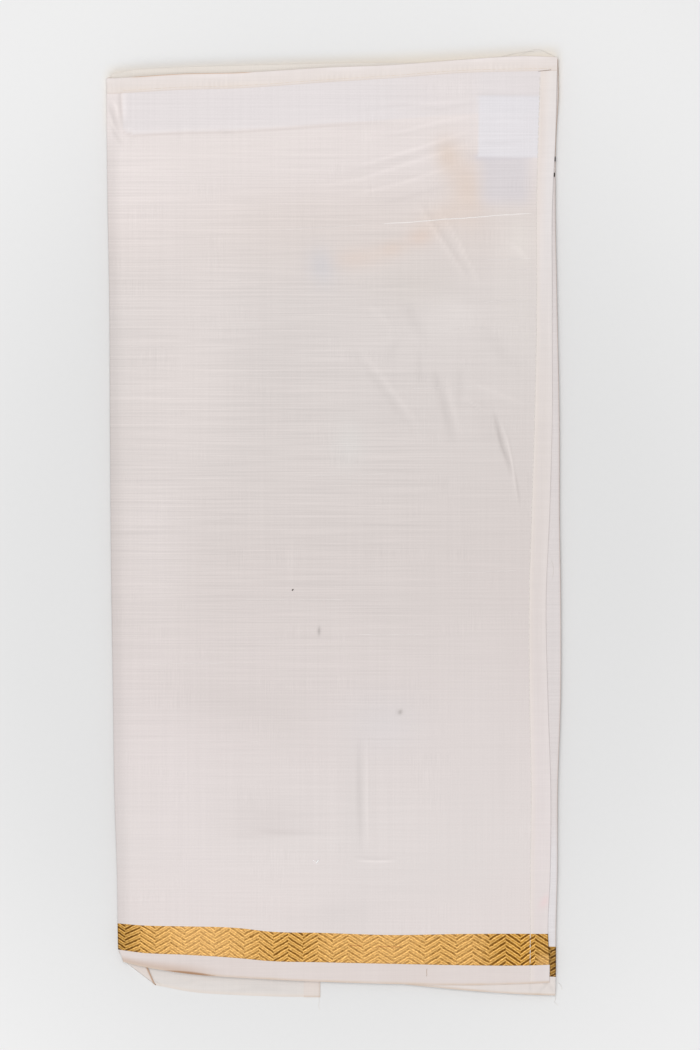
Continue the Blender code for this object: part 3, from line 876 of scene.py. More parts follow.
def gold_material():
    """Metal thread in a zigzag rib: dark furrows between ribbons, with painted highlights on their edges and
    painted sparkle.

    The falling halves of the zigzag lie half a rib higher than the rising ones.
    """
    graph = Graph("gold thread")
    from_valley = graph.math("SUBTRACT", graph.number("along"), CHEVRON_START)
    zigzag = graph.math("PINGPONG", from_valley, CHEVRON_HALF)
    raised = graph.times(zigzag, CHEVRON_RISE / CHEVRON_HALF)
    turn = graph.math("FRACT", graph.math("DIVIDE", from_valley, 2 * CHEVRON_HALF))
    falling = graph.times(graph.math("GREATER_THAN", turn, 0.5), 0.5)
    uneven = graph.add(graph.streaks(7, 3, 0.5, 21), graph.streaks(2, 1.5, 0.35, 25))
    height = graph.math("SUBTRACT", graph.add(graph.number("across"), uneven), raised)
    phase = graph.add(graph.math("DIVIDE", height, RIB_PITCH), falling)
    from_rib = graph.math("ABSOLUTE", graph.math("SUBTRACT", graph.math("FRACT", phase), 0.5))
    furrow = graph.smooth(from_rib, 0.28, 0.38)
    edge_inside = graph.smooth(from_rib, 0.31, 0.25)
    edge = graph.times(graph.smooth(from_rib, 0.13, 0.19), edge_inside)
    wash = graph.number("wash")
    strong = graph.math("SUBTRACT", 1.0, wash)
    patchy = graph.add(graph.streaks(9, 6, 0.5, 22), graph.streaks(2.4, 1.6, 0.6, 26), strong)
    middle = graph.mixed(wash, GOLD_STRONG, GOLD_WASHED)
    # Painted sparkle and painted highlights along the ribbons' edges
    painted_glints = graph.smooth(graph.streaks(2.6, 0.9, 0.5, 27, 3.0), 0.02, 0.20)
    lit = graph.times(graph.add(graph.times(painted_glints, 0.5), edge), 0.62)
    with_edge = graph.mixed(lit, middle, GOLD_HIGHLIGHT)
    depth = graph.times(furrow, graph.smooth(patchy, 0.0, 1.0))
    ribbed = graph.mixed(depth, with_edge, GOLD_DARK)
    grain = graph.add(graph.streaks(1.4, 1.0, 0.50, 23), graph.streaks(4, 0.8, 0.34, 24), 1.0)
    toned = graph.scaled(ribbed, graph.times(grain, graph.number("shade")))
    graph.coloured(toned)
    graph.rough(graph.add(graph.times(furrow, 0.2), 0.42))
    relief = graph.add(graph.times(furrow, -0.6), graph.times(grain, 0.8))
    graph.bump(relief, 0.05)
    return graph.finish(Metallic=0.35, Specular_IOR_Level=0.2)


def plain_cloth_material(name, pitch, roughness, sheen):
    graph = Graph(name)
    factor = graph.add(graph.streaks(12, 0.7, 0.03, 31), graph.streaks(0.7, 12, 0.03, 32), 1.0)
    graph.tinted(factor)
    graph.bump(graph.weave(pitch), 0.03)
    return graph.finish(Roughness=roughness, Sheen_Weight=sheen, Specular_IOR_Level=0.25)


def thread_material():
    """Sewing thread: twisted, with a slight shine."""
    graph = Graph("sewing thread")
    twist_length = 0.5 * MM
    twist = graph.math("SINE", graph.times(graph.add(*graph.axes()), 2 * math.pi / twist_length))
    factor = graph.add(graph.times(twist, 0.05), graph.streaks(6, 6, 0.08, 41), 1.0)
    graph.tinted(factor)
    graph.bump(twist, 0.03)
    return graph.finish(Roughness=0.5, Sheen_Weight=0.1, Specular_IOR_Level=0.35)


def floor_material():
    """A pale floor with painted light: lighter away from the cloth, warm by the silk's waist edge."""
    graph = Graph("pale floor")
    shifted = graph.node("ShaderNodeVectorMath", operation="MULTIPLY_ADD")
    graph.set(shifted.inputs[0], graph.place)
    shifted.inputs[1].default_value = (1.2, 1.0, 0.0)
    shifted.inputs[2].default_value = (0.0, 0.045, 0.0)
    length = graph.node("ShaderNodeVectorMath", operation="LENGTH")
    graph.set(length.inputs[0], shifted.outputs["Vector"])
    # Painted light: the floor is up to 14 % lighter away from the cloth
    away = graph.smooth(length.outputs["Value"], 0.20, 0.46)

    x, y = graph.axes()
    # The waist edge: how it slants, its height at x 0 and how far it runs each way, in metres
    waist_slope, waist_middle, waist_end = 0.048, 0.297, 0.152
    beyond = graph.math("SUBTRACT", graph.math("SUBTRACT", y, graph.times(x, waist_slope)), waist_middle)
    beside = graph.times(graph.smooth(beyond, 0.014, 0.0), graph.smooth(beyond, -0.04, -0.02))
    painted_warm_glow = graph.times(beside, graph.smooth(graph.math("ABSOLUTE", x), waist_end, 0.140))
    # Painted warm glow beside the waist edge, as if lit through the silk
    base = graph.mixed(painted_warm_glow, srgb(228, 228, 228), srgb(238, 229, 216))
    factor = graph.add(
        graph.times(away, 0.14),
        graph.streaks(500, 400, 0.02, 51),
        graph.streaks(4, 4, 0.008, 52),
        1.0,
    )
    graph.coloured(graph.scaled(base, factor))
    return graph.finish(Roughness=0.9, Specular_IOR_Level=0.1)


# The materials by slot, and the thread's
MATERIALS = {
    "silk": silk_material(),
    "hem_silk": hem_material(),
    "gold_thread": gold_material(),
    "facing_cloth": plain_cloth_material("facing cloth", 0.5, 0.75, 0.1),
    "label_satin": plain_cloth_material("label satin", 0.25, 0.42, 0.2),
}
THREAD_MATERIAL = thread_material()


# ---- Colour over the top stretch -----------------------------------------------------------


def blend(colour, target, mask):
    return colour + (target - colour) * mask[..., None]


def colour_along(colours, y):
    return linear(np.stack([line(y) for line in colours], axis=-1))


def top_tint(x, y):
    """What the top stretch's silk looks like at each place."""
    colour = colour_along(TOP_COLOURS, y)
    for centre, reach, turn, target, strength in TOP_SPOTS:
        colour = blend(colour, srgb(*target), spot_mask(x, y, centre, reach, turn) * strength)
    # Painted shadow below the label
    for centre, half, soft, turn, target, strength in LABEL_SHADOW_SHAPES:
        colour = blend(colour, srgb(*target), box_mask(x, y, centre, half, soft, turn) * strength)
    faded = 1 - 0.45 * ramp(x, 20, 80) * ramp(x, 100, 88)
    colour = blend(colour, FACING_TINT, facing_mask(x, y, 1.6) * 0.8 * faded)
    # A painted shade line just below the facing's lower edge, and a painted highlight line just inside it
    for shift, target, strength in ((1.7, srgb(211, 200, 196), 0.45), (-1.2, srgb(236, 229, 228), 0.35)):
        edge = facing_mask(x, y + shift + 0.8, 1.2) - facing_mask(x, y + shift - 0.8, 1.2)
        colour = blend(colour, target, np.clip(edge, 0, 1) * strength * faded * ramp(x, 40, -10))
    colour = blend(colour, LABEL_TINT, label_mask(x, y, 1.3) * 0.9)
    # Painted shade on the rounded left fold, up to 11 % darker, away from the waist end
    painted_fold_shade = 1 - 0.11 * ramp(x - LEFT_FOLD(y), 11, 0) * ramp(y, 262, 236)
    # Painted highlight and shade along the creases
    colour = colour * (painted_fold_shade * painted_crease_shade(x, y, TOP_CREASES))[..., None]
    for centre, reach in MARKS:
        colour = blend(colour, MARK_COLOUR, spot_mask(x, y, centre, reach, 0) * 0.9)
    return colour


# ---- The top stretch -----------------------------------------------------------------------

TOP_RUN = shares(
    (-143, 0.9), (-133, 3.2), (-14, 1.1), (-4, 3.0), (8, 0.9), (26, 2.0), (100, 0.8), (123, 1.6), (129, 1.6)
)
TOP_COLUMNS = folded_columns(TOP_RUN, "left", FOLD)
BORDER_COLUMNS = folded_columns(shares((-143, 0.5), (129, 0.5)), "left", FOLD)
BAND_ROWS = np.linspace(0, 1, 37)
STRIP_ROWS = shares((0, 0.5), (3, 1.0), (STRIP_DEPTH, 1.0))
FIELD_ROWS = shares(
    (-262, 2.6), (-226, 1.1), (-208, 3.6), (-124, 1.2), (-116, 4.2), (-73, 1.2), (-62, 4.2), (10, 1.4),
    (80, 2.0), (200, 1.3), (288, 1.3),
)


def build_top_stretch():
    panel = (LEFT_FOLD, END_SEAM)

    points = lay_out(panel, (BAND_HIGH, HEM_SEAM), TOP_COLUMNS, FIELD_ROWS, top_height, second_height)
    x, y = points[..., 0], points[..., 1]
    calmer = 1 - 0.45 * ramp(x, 20, 90) * ramp(y, 215, 185)
    field = cloth("top_field", "silk", points, SILK, top_tint(x, y), streak=STREAK(y) * calmer)

    points = lay_out(panel, (BAND_LOW, BAND_HIGH), BORDER_COLUMNS, BAND_ROWS, top_height, second_height)
    x = points[..., 0]
    # Painted shade: the border darkens by up to 22 % towards the left fold
    shade = 1 - 0.22 * ramp(x, -122, -136)
    border = gold_cloth("top_border", points, BAND_ROWS, SILK + 0.1, WASH(x), shade)

    slanted = (slanted_fold, END_SEAM)
    points = lay_out(slanted, (TOP_EDGE, BAND_LOW), TOP_COLUMNS, STRIP_ROWS, top_height, second_height)
    x = points[..., 0]
    from_edge = STRIP_ROWS[:, None] * STRIP_DEPTH
    # Painted shadow in the narrow gap under the lower edge, where it lifts near its left end
    spindle = 1.5 * np.clip(1 - ((x + 93) / 17) ** 2, 0, 1)
    crevice_shadow = ramp(from_edge, spindle + 0.3, spindle - 0.4) * ramp(spindle, 0.0, 0.6)
    tint = blend(selvage_tint(x, from_edge, SELVAGE_COLOUR), CREVICE_SHADOW_COLOUR, crevice_shadow)
    selvage = cloth("top_selvage", "hem_silk", points, SILK, tint)
    return field, [border, selvage]


def slanted_fold(y):
    """The left fold, drawn in a little at the cloth's lower corner."""
    return LEFT_FOLD(y) + 3.2 * ramp(y, -272, -284)


def selvage_tint(x, from_edge, colour):
    """The plain strip below the border, with its peach edge."""
    tint = blend(colour, srgb(226, 217, 214), 0.5 * (0.5 + 0.5 * waves(x, 120, 2.2)))
    tint = blend(tint, srgb(204, 182, 168), 0.9 * ramp(from_edge, 8, 1) * ramp(x, -66, -104))
    uneven = 0.75 + 0.25 * waves(x, 43, 1.1)
    return blend(tint, EDGE_COLOUR, ramp(from_edge, 1.8, 0.3) * uneven)


def gold_cloth(node, points, rows, wall, wash, shade):
    """A stretch of the border, with the ribs as relief."""
    along = points[..., 0] + PEAK_SHIFT(points[..., 0])
    across = rows[:, None] * BAND
    turn = (along - CHEVRON_START) / CHEVRON_HALF % 2
    raised = CHEVRON_RISE * (1 - np.abs(turn - 1))
    phase = ((across - raised) / RIB_PITCH + 0.5 * (turn > 1)) % 1
    rib = RIB_RELIEF * ramp(np.abs(phase - 0.5), 0.42, 0.30)
    inside = ramp(rows[:, None], 0, 0.04) * ramp(rows[:, None], 1, 0.96)
    relief = points.copy()
    relief[..., 2] += (rib - RIB_RELIEF / 2) * inside
    return cloth(
        node, "gold_thread", relief, wall, GOLD_STRONG,
        along=along, across=across, wash=np.clip(wash, 0, 1), shade=shade * (0.84 + 0.16 * inside),
    )


def build_waist_hem():
    width = 10.0
    rows = near_edge(width)
    sides = (LEFT_FOLD, END)
    columns = folded_columns(shares((-146, 0.8), (145, 0.8)), "left", FOLD, HEM)
    points = lay_out(sides, (HEM_SEAM, WAIST), columns, rows, puckered_hem_height, second_height)
    x, y = points[..., 0], points[..., 1]
    across = rows[:, None]
    wall = rounded(HEM, (1 - across) * width)
    wall = wall * (0.45 + 0.55 * ramp(across, 0.0, 0.08))
    inner_half = 0.5 * ramp(across, 0.5, 0.25) * (0.6 + 0.4 * waves(x, 70, 1.0))
    tint = blend(HEM_COLOUR, srgb(233, 221, 212), inner_half)
    tint = blend(tint, srgb(240, 232, 230), ramp(across, 0.6, 0.9) * (0.5 + 0.5 * waves(x, 90, 0.3)))
    # Painted shade along the seam at the hem's lower edge
    tint = blend(tint, srgb(214, 201, 193), 0.5 * ramp(across, 0.06, 0.0))
    tint = blend(tint, EDGE_COLOUR, 0.5 * ramp(across, 0.97, 1.0))
    # Painted brown shade along the hem's outer edge, towards the left
    painted_edge_shade = ramp(across, 0.94, 0.99) * ramp(np.abs(x + 92), 42, 34)
    tint = blend(tint, srgb(218, 178, 142), 0.9 * painted_edge_shade)
    # Painted highlight and shade on the puckers, over their relief
    tint = tint * (1 + 0.035 * pucker(x) * ramp(np.abs(across - 0.3), 0.40, 0.05))[..., None]
    return cloth("waist_hem", "hem_silk", points, wall, tint)


def pucker(x):
    """The cloth puffs up between two stitches and is drawn down at each, unevenly."""
    uneven = np.clip(0.4 + 0.6 * waves(x, 85, 0.8), 0.1, 1)
    return uneven * np.cos(2 * math.pi * x / STITCH_PITCH + 2.2 * waves(x, 31, 1.4))


def puckered_hem_height(x, y):
    from_stitches = np.abs(y - HEM_SEAM(x) - WAIST_STITCHES)
    return hem_height(x, y) + 0.07 * pucker(x) * ramp(from_stitches, 5.0, 1.0)


def hem_height(x, y):
    """A hem stands a little above the single cloth beside it."""
    return top_height(x, y) + 0.12


def build_end_hem():
    """The hem at the cloth's end, in three parts as the border runs across it."""
    width = 11.5
    plain = near_edge(width)
    finer = np.unique(np.concatenate([np.linspace(0, 1, 24), plain]))
    parts = (
        ("end_hem", BAND_HIGH, HEM_SEAM, plain, shares((0, 2.5), (550, 2.5))),
        ("end_hem_border", BAND_LOW, BAND_HIGH, finer, BAND_ROWS),
        ("end_hem_selvage", TOP_EDGE, BAND_LOW, plain, STRIP_ROWS),
    )
    made = []
    for node, low, high, shares_across, rows in parts:
        points = lay_out((END_SEAM, END), (low, high), flat_columns(shares_across), rows, hem_height)
        x, y = points[..., 0], points[..., 1]
        from_seam = shares_across[None, :]
        wall = rounded(HEM, (1 - from_seam) * width) * (0.5 + 0.5 * ramp(from_seam, 0, 0.3))
        if node == "end_hem_border":
            faded = 0.7 * ramp(rows[:, None], 0.5, 0.2) * ramp(from_seam, 0.1, 0.5)
            # Painted shade along the hem's folded outer edge, up to 35 % darker; 5 % darker elsewhere
            shade = 0.95 - 0.35 * ramp(from_seam, 0.94, 0.99)
            made.append(gold_cloth(node, points, rows, wall, WASH(x) + faded, shade))
            continue
        tint = end_hem_tint(x, y, from_seam)
        if node == "end_hem_selvage":
            tint = blend(tint, EDGE_COLOUR, 0.8 * ramp(rows[:, None] * STRIP_DEPTH, 2.0, 0.4))
        made.append(cloth(node, "hem_silk", points, wall, tint))
    return made


def end_hem_tint(x, y, from_seam):
    tint = colour_along(END_HEM_COLOURS, y)
    tint = blend(tint, srgb(229, 217, 208), 0.35 * ramp(from_seam, 0.3, 0.05))
    tint = blend(tint, srgb(235, 220, 212), 0.35 * ramp(from_seam, 0.75, 0.2) * ramp(y, 150, 220))
    tint = blend(tint, srgb(236, 228, 224), 0.4 * ramp(from_seam, 0.12, 0.02))
    # Painted highlight towards the hem's folded outer edge
    tint = blend(tint, srgb(234, 227, 225), 0.2 * ramp(from_seam, 0.55, 0.9))
    return blend(tint, srgb(234, 208, 208), spot_mask(x, y, (137.6, -243.6), (2.6, 4.6), -30) * 0.6)


def build_facing_and_label():
    """They lie on the second stretch, the label on the facing."""
    base = SECOND + SILK / 2 + 0.35
    sides = (constant(FACING_BOX[0][0]), moved(END, -1.5))
    ends = (moved(HEM_SEAM, -FACING_DEPTH), moved(WAIST, -1.5))
    columns = flat_columns(np.linspace(0, 1, 60))
    points = lay_out(sides, ends, columns, np.linspace(0, 1, 7), constant_height(base))
    facing = cloth("waist_facing", "facing_cloth", points, LINING, FACING_COLOUR)

    low, high = LABEL_BOX
    sides = (constant(low[0]), constant(high[0]))
    ends = (constant(low[1]), constant(high[1]))
    even = np.linspace(0, 1, 9)
    points = lay_out(sides, ends, flat_columns(even), even, constant_height(base + 0.4))
    label = cloth("label", "label_satin", points, LINING, LABEL_COLOUR)
    return [facing, label]


def constant_height(value):
    return lambda x, y: value + 0 * x


# ---- The stretches below -------------------------------------------------------------------


def layered_wall(from_waist):
    """One layer, doubled where the waist hem is."""
    return SILK + 0.45 * ramp(from_waist, WAIST_HEM + 0.6, WAIST_HEM)


def build_second_stretch():
    sides = (moved(LEFT_FOLD, FREE_START), RIGHT_FOLD)
    flat = shares((-139, 9.0), (95, 4.0), (126, 1.2), (146, 1.2))
    columns = folded_columns(flat, "right", FOLD)
    band_low = moved(SECOND_EDGE, SELVAGE)
    band_high = moved(SECOND_EDGE, SELVAGE + BAND)

    rows = shares((-270, 4.0), (288, 0.6), (302, 0.6))
    points = lay_out(sides, (band_high, SECOND_WAIST), columns, rows, second_height, third_height)
    x, y = points[..., 0], points[..., 1]
    from_waist = SECOND_WAIST(x) - y
    tint = blend(srgb(219, 212, 211), srgb(227, 224, 226), 0.7 * ramp(y, -185, -215))
    tint = blend(tint, srgb(228, 221, 213), ramp(from_waist, 11, 8) * ramp(RIGHT_FOLD(y) - x, 1, 4))
    # Painted brown shade on the right fold
    tint = blend(tint, srgb(186, 158, 136), second_fold_shade(x, y))
    field = cloth("second_field", "silk", points, layered_wall(from_waist), tint, streak=0.6)

    gold_flat = shares((-139, 9.0), (95, 3.0), (130, 0.5), (146, 0.5))
    gold_columns = folded_columns(gold_flat, "right", FOLD)
    points = lay_out(sides, (band_low, band_high), gold_columns, BAND_ROWS, second_height, third_height)
    # The 0.58 is painted shade: this border shows only beside the top stretch's end, in its shadow
    border = gold_cloth("second_border", points, BAND_ROWS, SILK + 0.1, 0.0, 0.58)

    slanted = (moved(slanted_fold, FREE_START), RIGHT_FOLD)
    points = lay_out(slanted, (SECOND_EDGE, band_low), columns, STRIP_ROWS, second_height, third_height)
    x, y = points[..., 0], points[..., 1]
    tint = selvage_tint(x, STRIP_ROWS[:, None] * STRIP_DEPTH, srgb(227, 219, 214))
    # Painted highlight and shade along the creases
    tint = tint * painted_crease_shade(x, y, SECOND_CREASES)[..., None]
    selvage = cloth("second_selvage", "hem_silk", points, SILK, tint)


def second_fold_shade(x, y):
    """How much painted brown shade the second stretch's right fold gets: most beside the waist hem."""
    return (0.45 + 0.45 * ramp(y, 225, 255)) * ramp(RIGHT_FOLD(y) - x, 1.0, 0.2)


def build_hidden_stretches():
    """Three stretches as one length of cloth that runs to and fro, with its two inner folds."""
    flat = shares((-140, 1.5), (-128, 8.0), (128, 1.5), (142, 1.5))
    wide = (FOURTH - LOWEST) / 2
    angle = np.linspace(0, math.pi, FOLD_STEPS + 1)[1:-1]
    turning = (1 - np.cos(angle)) / 2
    in_left = FOLD + SILK / 2 + 0.5
    in_right = wide + SILK / 2 + 0.4
    back = flat[::-1]

    # share of the way to the right, offset, turn to the next stretch, this stretch
    runs = (
        (back, (1 - back) * in_left - back * FREE_START, 0 * flat, 0),
        (0 * angle, in_left - FOLD * np.sin(angle), turning, 0),
        (flat, (1 - flat) * in_left - flat * in_right, 0 * flat, 1),
        (0 * angle + 1, wide * np.sin(angle) - in_right, turning, 1),
        (back, (1 - back) * FREE_START - back * in_right, 0 * flat, 2),
    )
    share, offset, turn = (np.concatenate([run[k] for run in runs]) for k in range(3))
    layer = np.concatenate([np.full(len(run[0]), run[3]) for run in runs])
    rows = shares((-300, 0.8), (-294, 8.0), (284, 0.8), (300, 0.8))

    insets = np.array(HIDDEN_INSETS)
    following = np.minimum(layer + 1, 2)
    inset = insets[layer] * (1 - turn) + insets[following] * turn
    x = np.zeros((len(rows), len(share)))
    for _ in range(ROUNDS):
        wobble = inset + 0.7 * waves(x + 90 * layer, 140, 1.7)
        low = SECOND_EDGE(x) + wobble
        high = SECOND_WAIST(x) - inset - 0.7 * waves(x + 70 * layer, 120, 0.6)
        y = low + (high - low) * rows[:, None]
        sway = 0.45 * waves(y + 130 * layer, 170, 2.9)
        x = LEFT_FOLD(y) * (1 - share) + RIGHT_FOLD(y) * share + offset
        x = x + sway * (1 - 2 * share)
    heights = [third_height(x, y), fourth_height(x, y), fifth_height(x, y)]
    here = np.choose(np.broadcast_to(layer, x.shape), heights)
    after = np.choose(np.broadcast_to(following, x.shape), heights)
    points = np.stack([x, y, here * (1 - turn) + after * turn], axis=2)
    from_waist = high - y
    near = np.minimum(from_waist, y - low)
    tint = blend(HIDDEN_COLOUR, DEEP_EDGE_COLOUR, 0.6 * ramp(near, 1.6, 0.2))
    wall = layered_wall(from_waist)
    points[..., 2] += (wall - SILK) / 2
    made = cloth("hidden_stretches", "silk", points, wall, tint, streak=0.6)


def build_inner_end():
    seam = INNER_HEM_BOX[0][0] - 0.15
    sides = (inner_fold, constant(seam))
    flat = shares((-135, 3.0), (-19, 3.0))
    columns = folded_columns(flat, "left", FOLD)
    band_low = moved(INNER_EDGE, SELVAGE)
    band_high = moved(INNER_EDGE, SELVAGE + BAND)

    rows = shares((-270, 5.0), (278, 0.8), (292, 0.8))
    points = lay_out(sides, (band_high, INNER_WAIST), columns, rows, inner_height, inner_rise)
    from_waist = INNER_WAIST(points[..., 0]) - points[..., 1]
    wall = layered_wall(from_waist) * INNER_THINNER
    points[..., 2] += (wall - SILK * INNER_THINNER) / 2
    field = cloth("inner_field", "silk", points, wall, HIDDEN_COLOUR, streak=0.6)

    rows = np.linspace(0, 1, 21)
    points = lay_out(sides, (band_low, band_high), columns, rows, inner_height, inner_rise)
    border = gold_cloth("inner_border", points, rows, SILK * INNER_THINNER, 0.3, 0.8)

    rows = shares((0, 0.5), (3, 0.8), (STRIP_DEPTH, 0.8))
    points = lay_out(sides, (INNER_EDGE, band_low), columns, rows, inner_height, inner_rise)
    x, y = points[..., 0], points[..., 1]
    near_low = 0.55 * ramp(rows[:, None] * STRIP_DEPTH, 2.6, 0.6)
    tint = blend(srgb(224, 218, 214), srgb(229, 217, 207), near_low)
    # Painted highlight and shade along the creases
    tint = tint * painted_crease_shade(x, y, INNER_CREASES)[..., None]
    selvage = cloth("inner_selvage", "hem_silk", points, SILK * INNER_THINNER, tint)

    width = INNER_HEM_BOX[1][0] - seam
    hem_columns = flat_columns(near_edge(width, 0.4))
    rows = shares((-306, 0.8), (-300, 4.0), (292, 4.0))
    hem_sides = (constant(seam), constant(INNER_HEM_BOX[1][0]))
    points = lay_out(hem_sides, (INNER_EDGE, INNER_WAIST), hem_columns, rows, raised_inner_height)
    x, y = points[..., 0], points[..., 1]
    wall = rounded(HEM, (1 - hem_columns[0]) * width)
    tint = blend(INNER_HEM_COLOUR, EDGE_COLOUR, 0.6 * ramp(y - INNER_EDGE(x), 1.6, 0.3))
    tint = blend(tint, DEEP_EDGE_COLOUR, 0.4 * ramp(x, INNER_HEM_BOX[1][0] - 0.8, INNER_HEM_BOX[1][0]))
    hem = cloth("inner_hem", "hem_silk", points, wall, tint)

    corner = build_folded_corner()


def raised_inner_height(x, y):
    """Middle height of the inner end's hem, which is thicker than the cloth beside it."""
    return inner_height(x, y) + 0.2


def build_folded_corner():
    """The inner end's corner, turned up round its slanting fold and laid on the cloth."""
    fold_low, fold_high = INNER_LEFT[:2]
    tip = np.array((-125.2, -277.0))
    along = np.linspace(0, 1, 17)[:, None] * (fold_high - fold_low) + fold_low
    outward = np.array((fold_low[1] - fold_high[1], fold_high[0] - fold_low[0]))
    outward /= -np.linalg.norm(outward)
    radius = 0.45
    rows = []
    for angle in np.linspace(-math.pi / 2, math.pi / 2, 7):
        place = along + outward * radius * math.cos(angle)
        rows.append(np.column_stack([place, np.full(len(along), LOWEST + radius * (1 + math.sin(angle)))]))
    for away in np.linspace(0.08, 0.97, 14):
        place = along + (tip - along) * away
        rows.append(np.column_stack([place, np.full(len(along), LOWEST + 2 * radius)]))
    points = np.array(rows)
    x, y = points[..., 0], points[..., 1]
    free_edge, _ = distance_to_path(x, y, (fold_low, tip))
    tint = blend(INNER_HEM_COLOUR, srgb(190, 155, 128), ramp(free_edge, 1.4, 0.4))
    corner = shell("inner_corner_cloth", points, 0.3, MATERIALS["hem_silk"], tint)
    return corner


# ---- Stitches, threads and specks ------------------------------------------------------------


def ring_faces(rings, sides):
    """Faces that join rings of corners one after another, closed at both ends."""
    faces = []
    for i in range(rings - 1):
        for k in range(sides):
            after = (k + 1) % sides
            faces.append((i * sides + k, i * sides + after, (i + 1) * sides + after, (i + 1) * sides + k))
    faces.append(tuple(range(sides))[::-1])
    faces.append(tuple((rings - 1) * sides + k for k in range(sides)))
    return faces


def capsule(start, end, radius, squash=0.6, sides=7, rings=6):
    """Corners and faces of a rounded stitch from start to end, which isn't upright."""
    start, end = np.array(start, float), np.array(end, float)
    axis = end - start
    length = np.linalg.norm(axis)
    axis /= length
    across = np.cross((0, 0, 1.0), axis)
    across /= np.linalg.norm(across)
    up = np.cross(axis, across)
    verts = []
    for i in range(rings):
        angle = math.pi * (i + 0.5) / rings
        along = (1 - math.cos(angle)) / 2 * length
        reach = radius * math.sin(angle) ** 0.5
        for k in range(sides):
            turn = 2 * math.pi * k / sides
            round_it = across * math.cos(turn) + up * squash * math.sin(turn)
            verts.append(start + axis * along + reach * round_it)
    return np.array(verts), ring_faces(rings, sides)


def joined(name, parts, colours):
    """One object from many small parts, each with its own colour, in the thread's material."""
    verts, faces, tints = [], [], []
    count = 0
    for (part_verts, part_faces), colour in zip(parts, colours):
        verts.append(part_verts)
        faces.extend(tuple(int(c) + count for c in face) for face in part_faces)
        tints.append(np.tile((*colour, 1.0), (len(part_verts), 1)))
        count += len(part_verts)
    made = new_object(name, np.concatenate(verts), faces, THREAD_MATERIAL)
    values = np.concatenate(tints).astype(np.float32).ravel()
    made.data.attributes.new("tint", "FLOAT_COLOR", "POINT").data.foreach_set("color", values)
    return made


def stitch_run(path, surface, lift, radius):
    """Stitches along a path on a surface, each with a slightly uneven place and slant."""
    path = np.array(path, float)
    steps = np.linalg.norm(np.diff(path, axis=0), axis=1)
    travelled = np.concatenate([[0], np.cumsum(steps)])
    count = int(travelled[-1] / STITCH_PITCH)
    parts = []
    for k in range(count):
        middle = (k + 0.5) * STITCH_PITCH + 0.25 * math.sin(2.4 * k)
        ends = []
        for side in (-0.5, 0.5):
            at = middle + side * (STITCH_LENGTH + 0.3 * math.sin(1.7 * k))
            x = np.interp(at, travelled, path[:, 0]) + side * 0.12
            y = np.interp(at, travelled, path[:, 1]) + side * 0.12
            z = surface(np.array([[x]]), np.array([[y]]))[0, 0] + lift
            ends.append((x, y, z))
        parts.append(capsule(*ends, radius))
    return parts


def on_hem(x, y):
    """The upper side of a hem on the top stretch."""
    return hem_height(x, y) + HEM / 2


def on_silk(x, y):
    """The upper side of the top stretch."""
    return top_height(x, y) + SILK / 2


def build_stitches():
    x = np.linspace(-137, 144, 80)
    waist = stitch_run(np.stack([x, HEM_SEAM(x) + WAIST_STITCHES], axis=1), on_hem, 0.02, 0.15)
    y = np.linspace(-294, 294, 120)
    end = stitch_run(np.stack([END_SEAM(y) - 0.3, y], axis=1), on_silk, 0.06, 0.25)
    colours = [PEACH_THREAD_COLOUR] * len(waist) + [THREAD_COLOUR] * len(end)
    return joined("stitches", waist + end, colours)


def tube(points, radius, sides=6, squash=1.0):
    """Corners and faces of a thin thread along a path, round or squashed flat."""
    points = np.array(points, float)
    forward = np.gradient(points, axis=0)
    forward /= np.linalg.norm(forward, axis=1, keepdims=True)
    across = np.cross(forward, (0, 0, 1.0))
    across /= np.linalg.norm(across, axis=1, keepdims=True)
    up = np.cross(across, forward)
    rings = []
    for k in range(sides):
        turn = 2 * math.pi * k / sides
        rings.append(points + radius * (across * math.cos(turn) + up * squash * math.sin(turn)))
    verts = np.stack(rings, axis=1).reshape(-1, 3)
    return verts, ring_faces(len(points), sides)


def smooth_path(points, count):
    """A curved path through given points."""
    points = np.array(points, float)
    at = np.linspace(0, 1, len(points))
    places = np.linspace(0, 1, count)
    return np.stack([line(places) for line in lines_through(*np.column_stack([at, points]))], axis=1)


THREADS = (
    # above the top right corner
    ((118, 304.5, 7.4), (125, 308.5, 6.0), (133, 311.2, 3.0), (141, 308.5, 1.0), (147, 305.5, 0.3)),
    ((104, 303.8, 6.5), (112, 307.0, 3.0), (123, 309.6, 0.4), (131, 310.2, 0.3)),
    # below the inner end's hem
    ((-9.4, -305.8, 0.5), (-8.8, -308.5, 0.3), (-9.3, -312.0, 0.3), (-8.4, -314.4, 0.3)),
    # at the right fold and the lower right corner
    ((143.0, -303.6, 4.0), (145.2, -306.5, 1.5), (144.6, -309.6, 0.3), (147.0, -311.8, 0.3)),
    ((146.0, -296.0, 3.5), (148.6, -298.5, 0.8), (149.4, -301.5, 0.3)),
    ((141.2, -20, 5.6), (143.4, -26, 6.3), (143.0, -33, 6.1)),
)

# Short threads lying on the border and on the plain strip below it, and a dark strip of painted shadow at
# the waist hem's seam
LAID_THREADS = (
    (((11.2, -272.2), (14, -272.0), (17, -272.3), (19, -272.1)), RUST_COLOUR),
    (((28.1, -273.0), (34, -272.6), (39, -272.9), (44.4, -272.7)), RUST_COLOUR),
    (((61.2, -287.0), (61.0, -289.0), (61.2, -290.6), (61.0, -292.0)), srgb(178, 148, 120)),
    # painted shadow: a dark strip in the gap at the end of the waist hem's seam, not a thread
    (((133.6, 296.3), (136, 296.5), (139, 296.8), (142, 297.3)), srgb(148, 122, 104)),
)


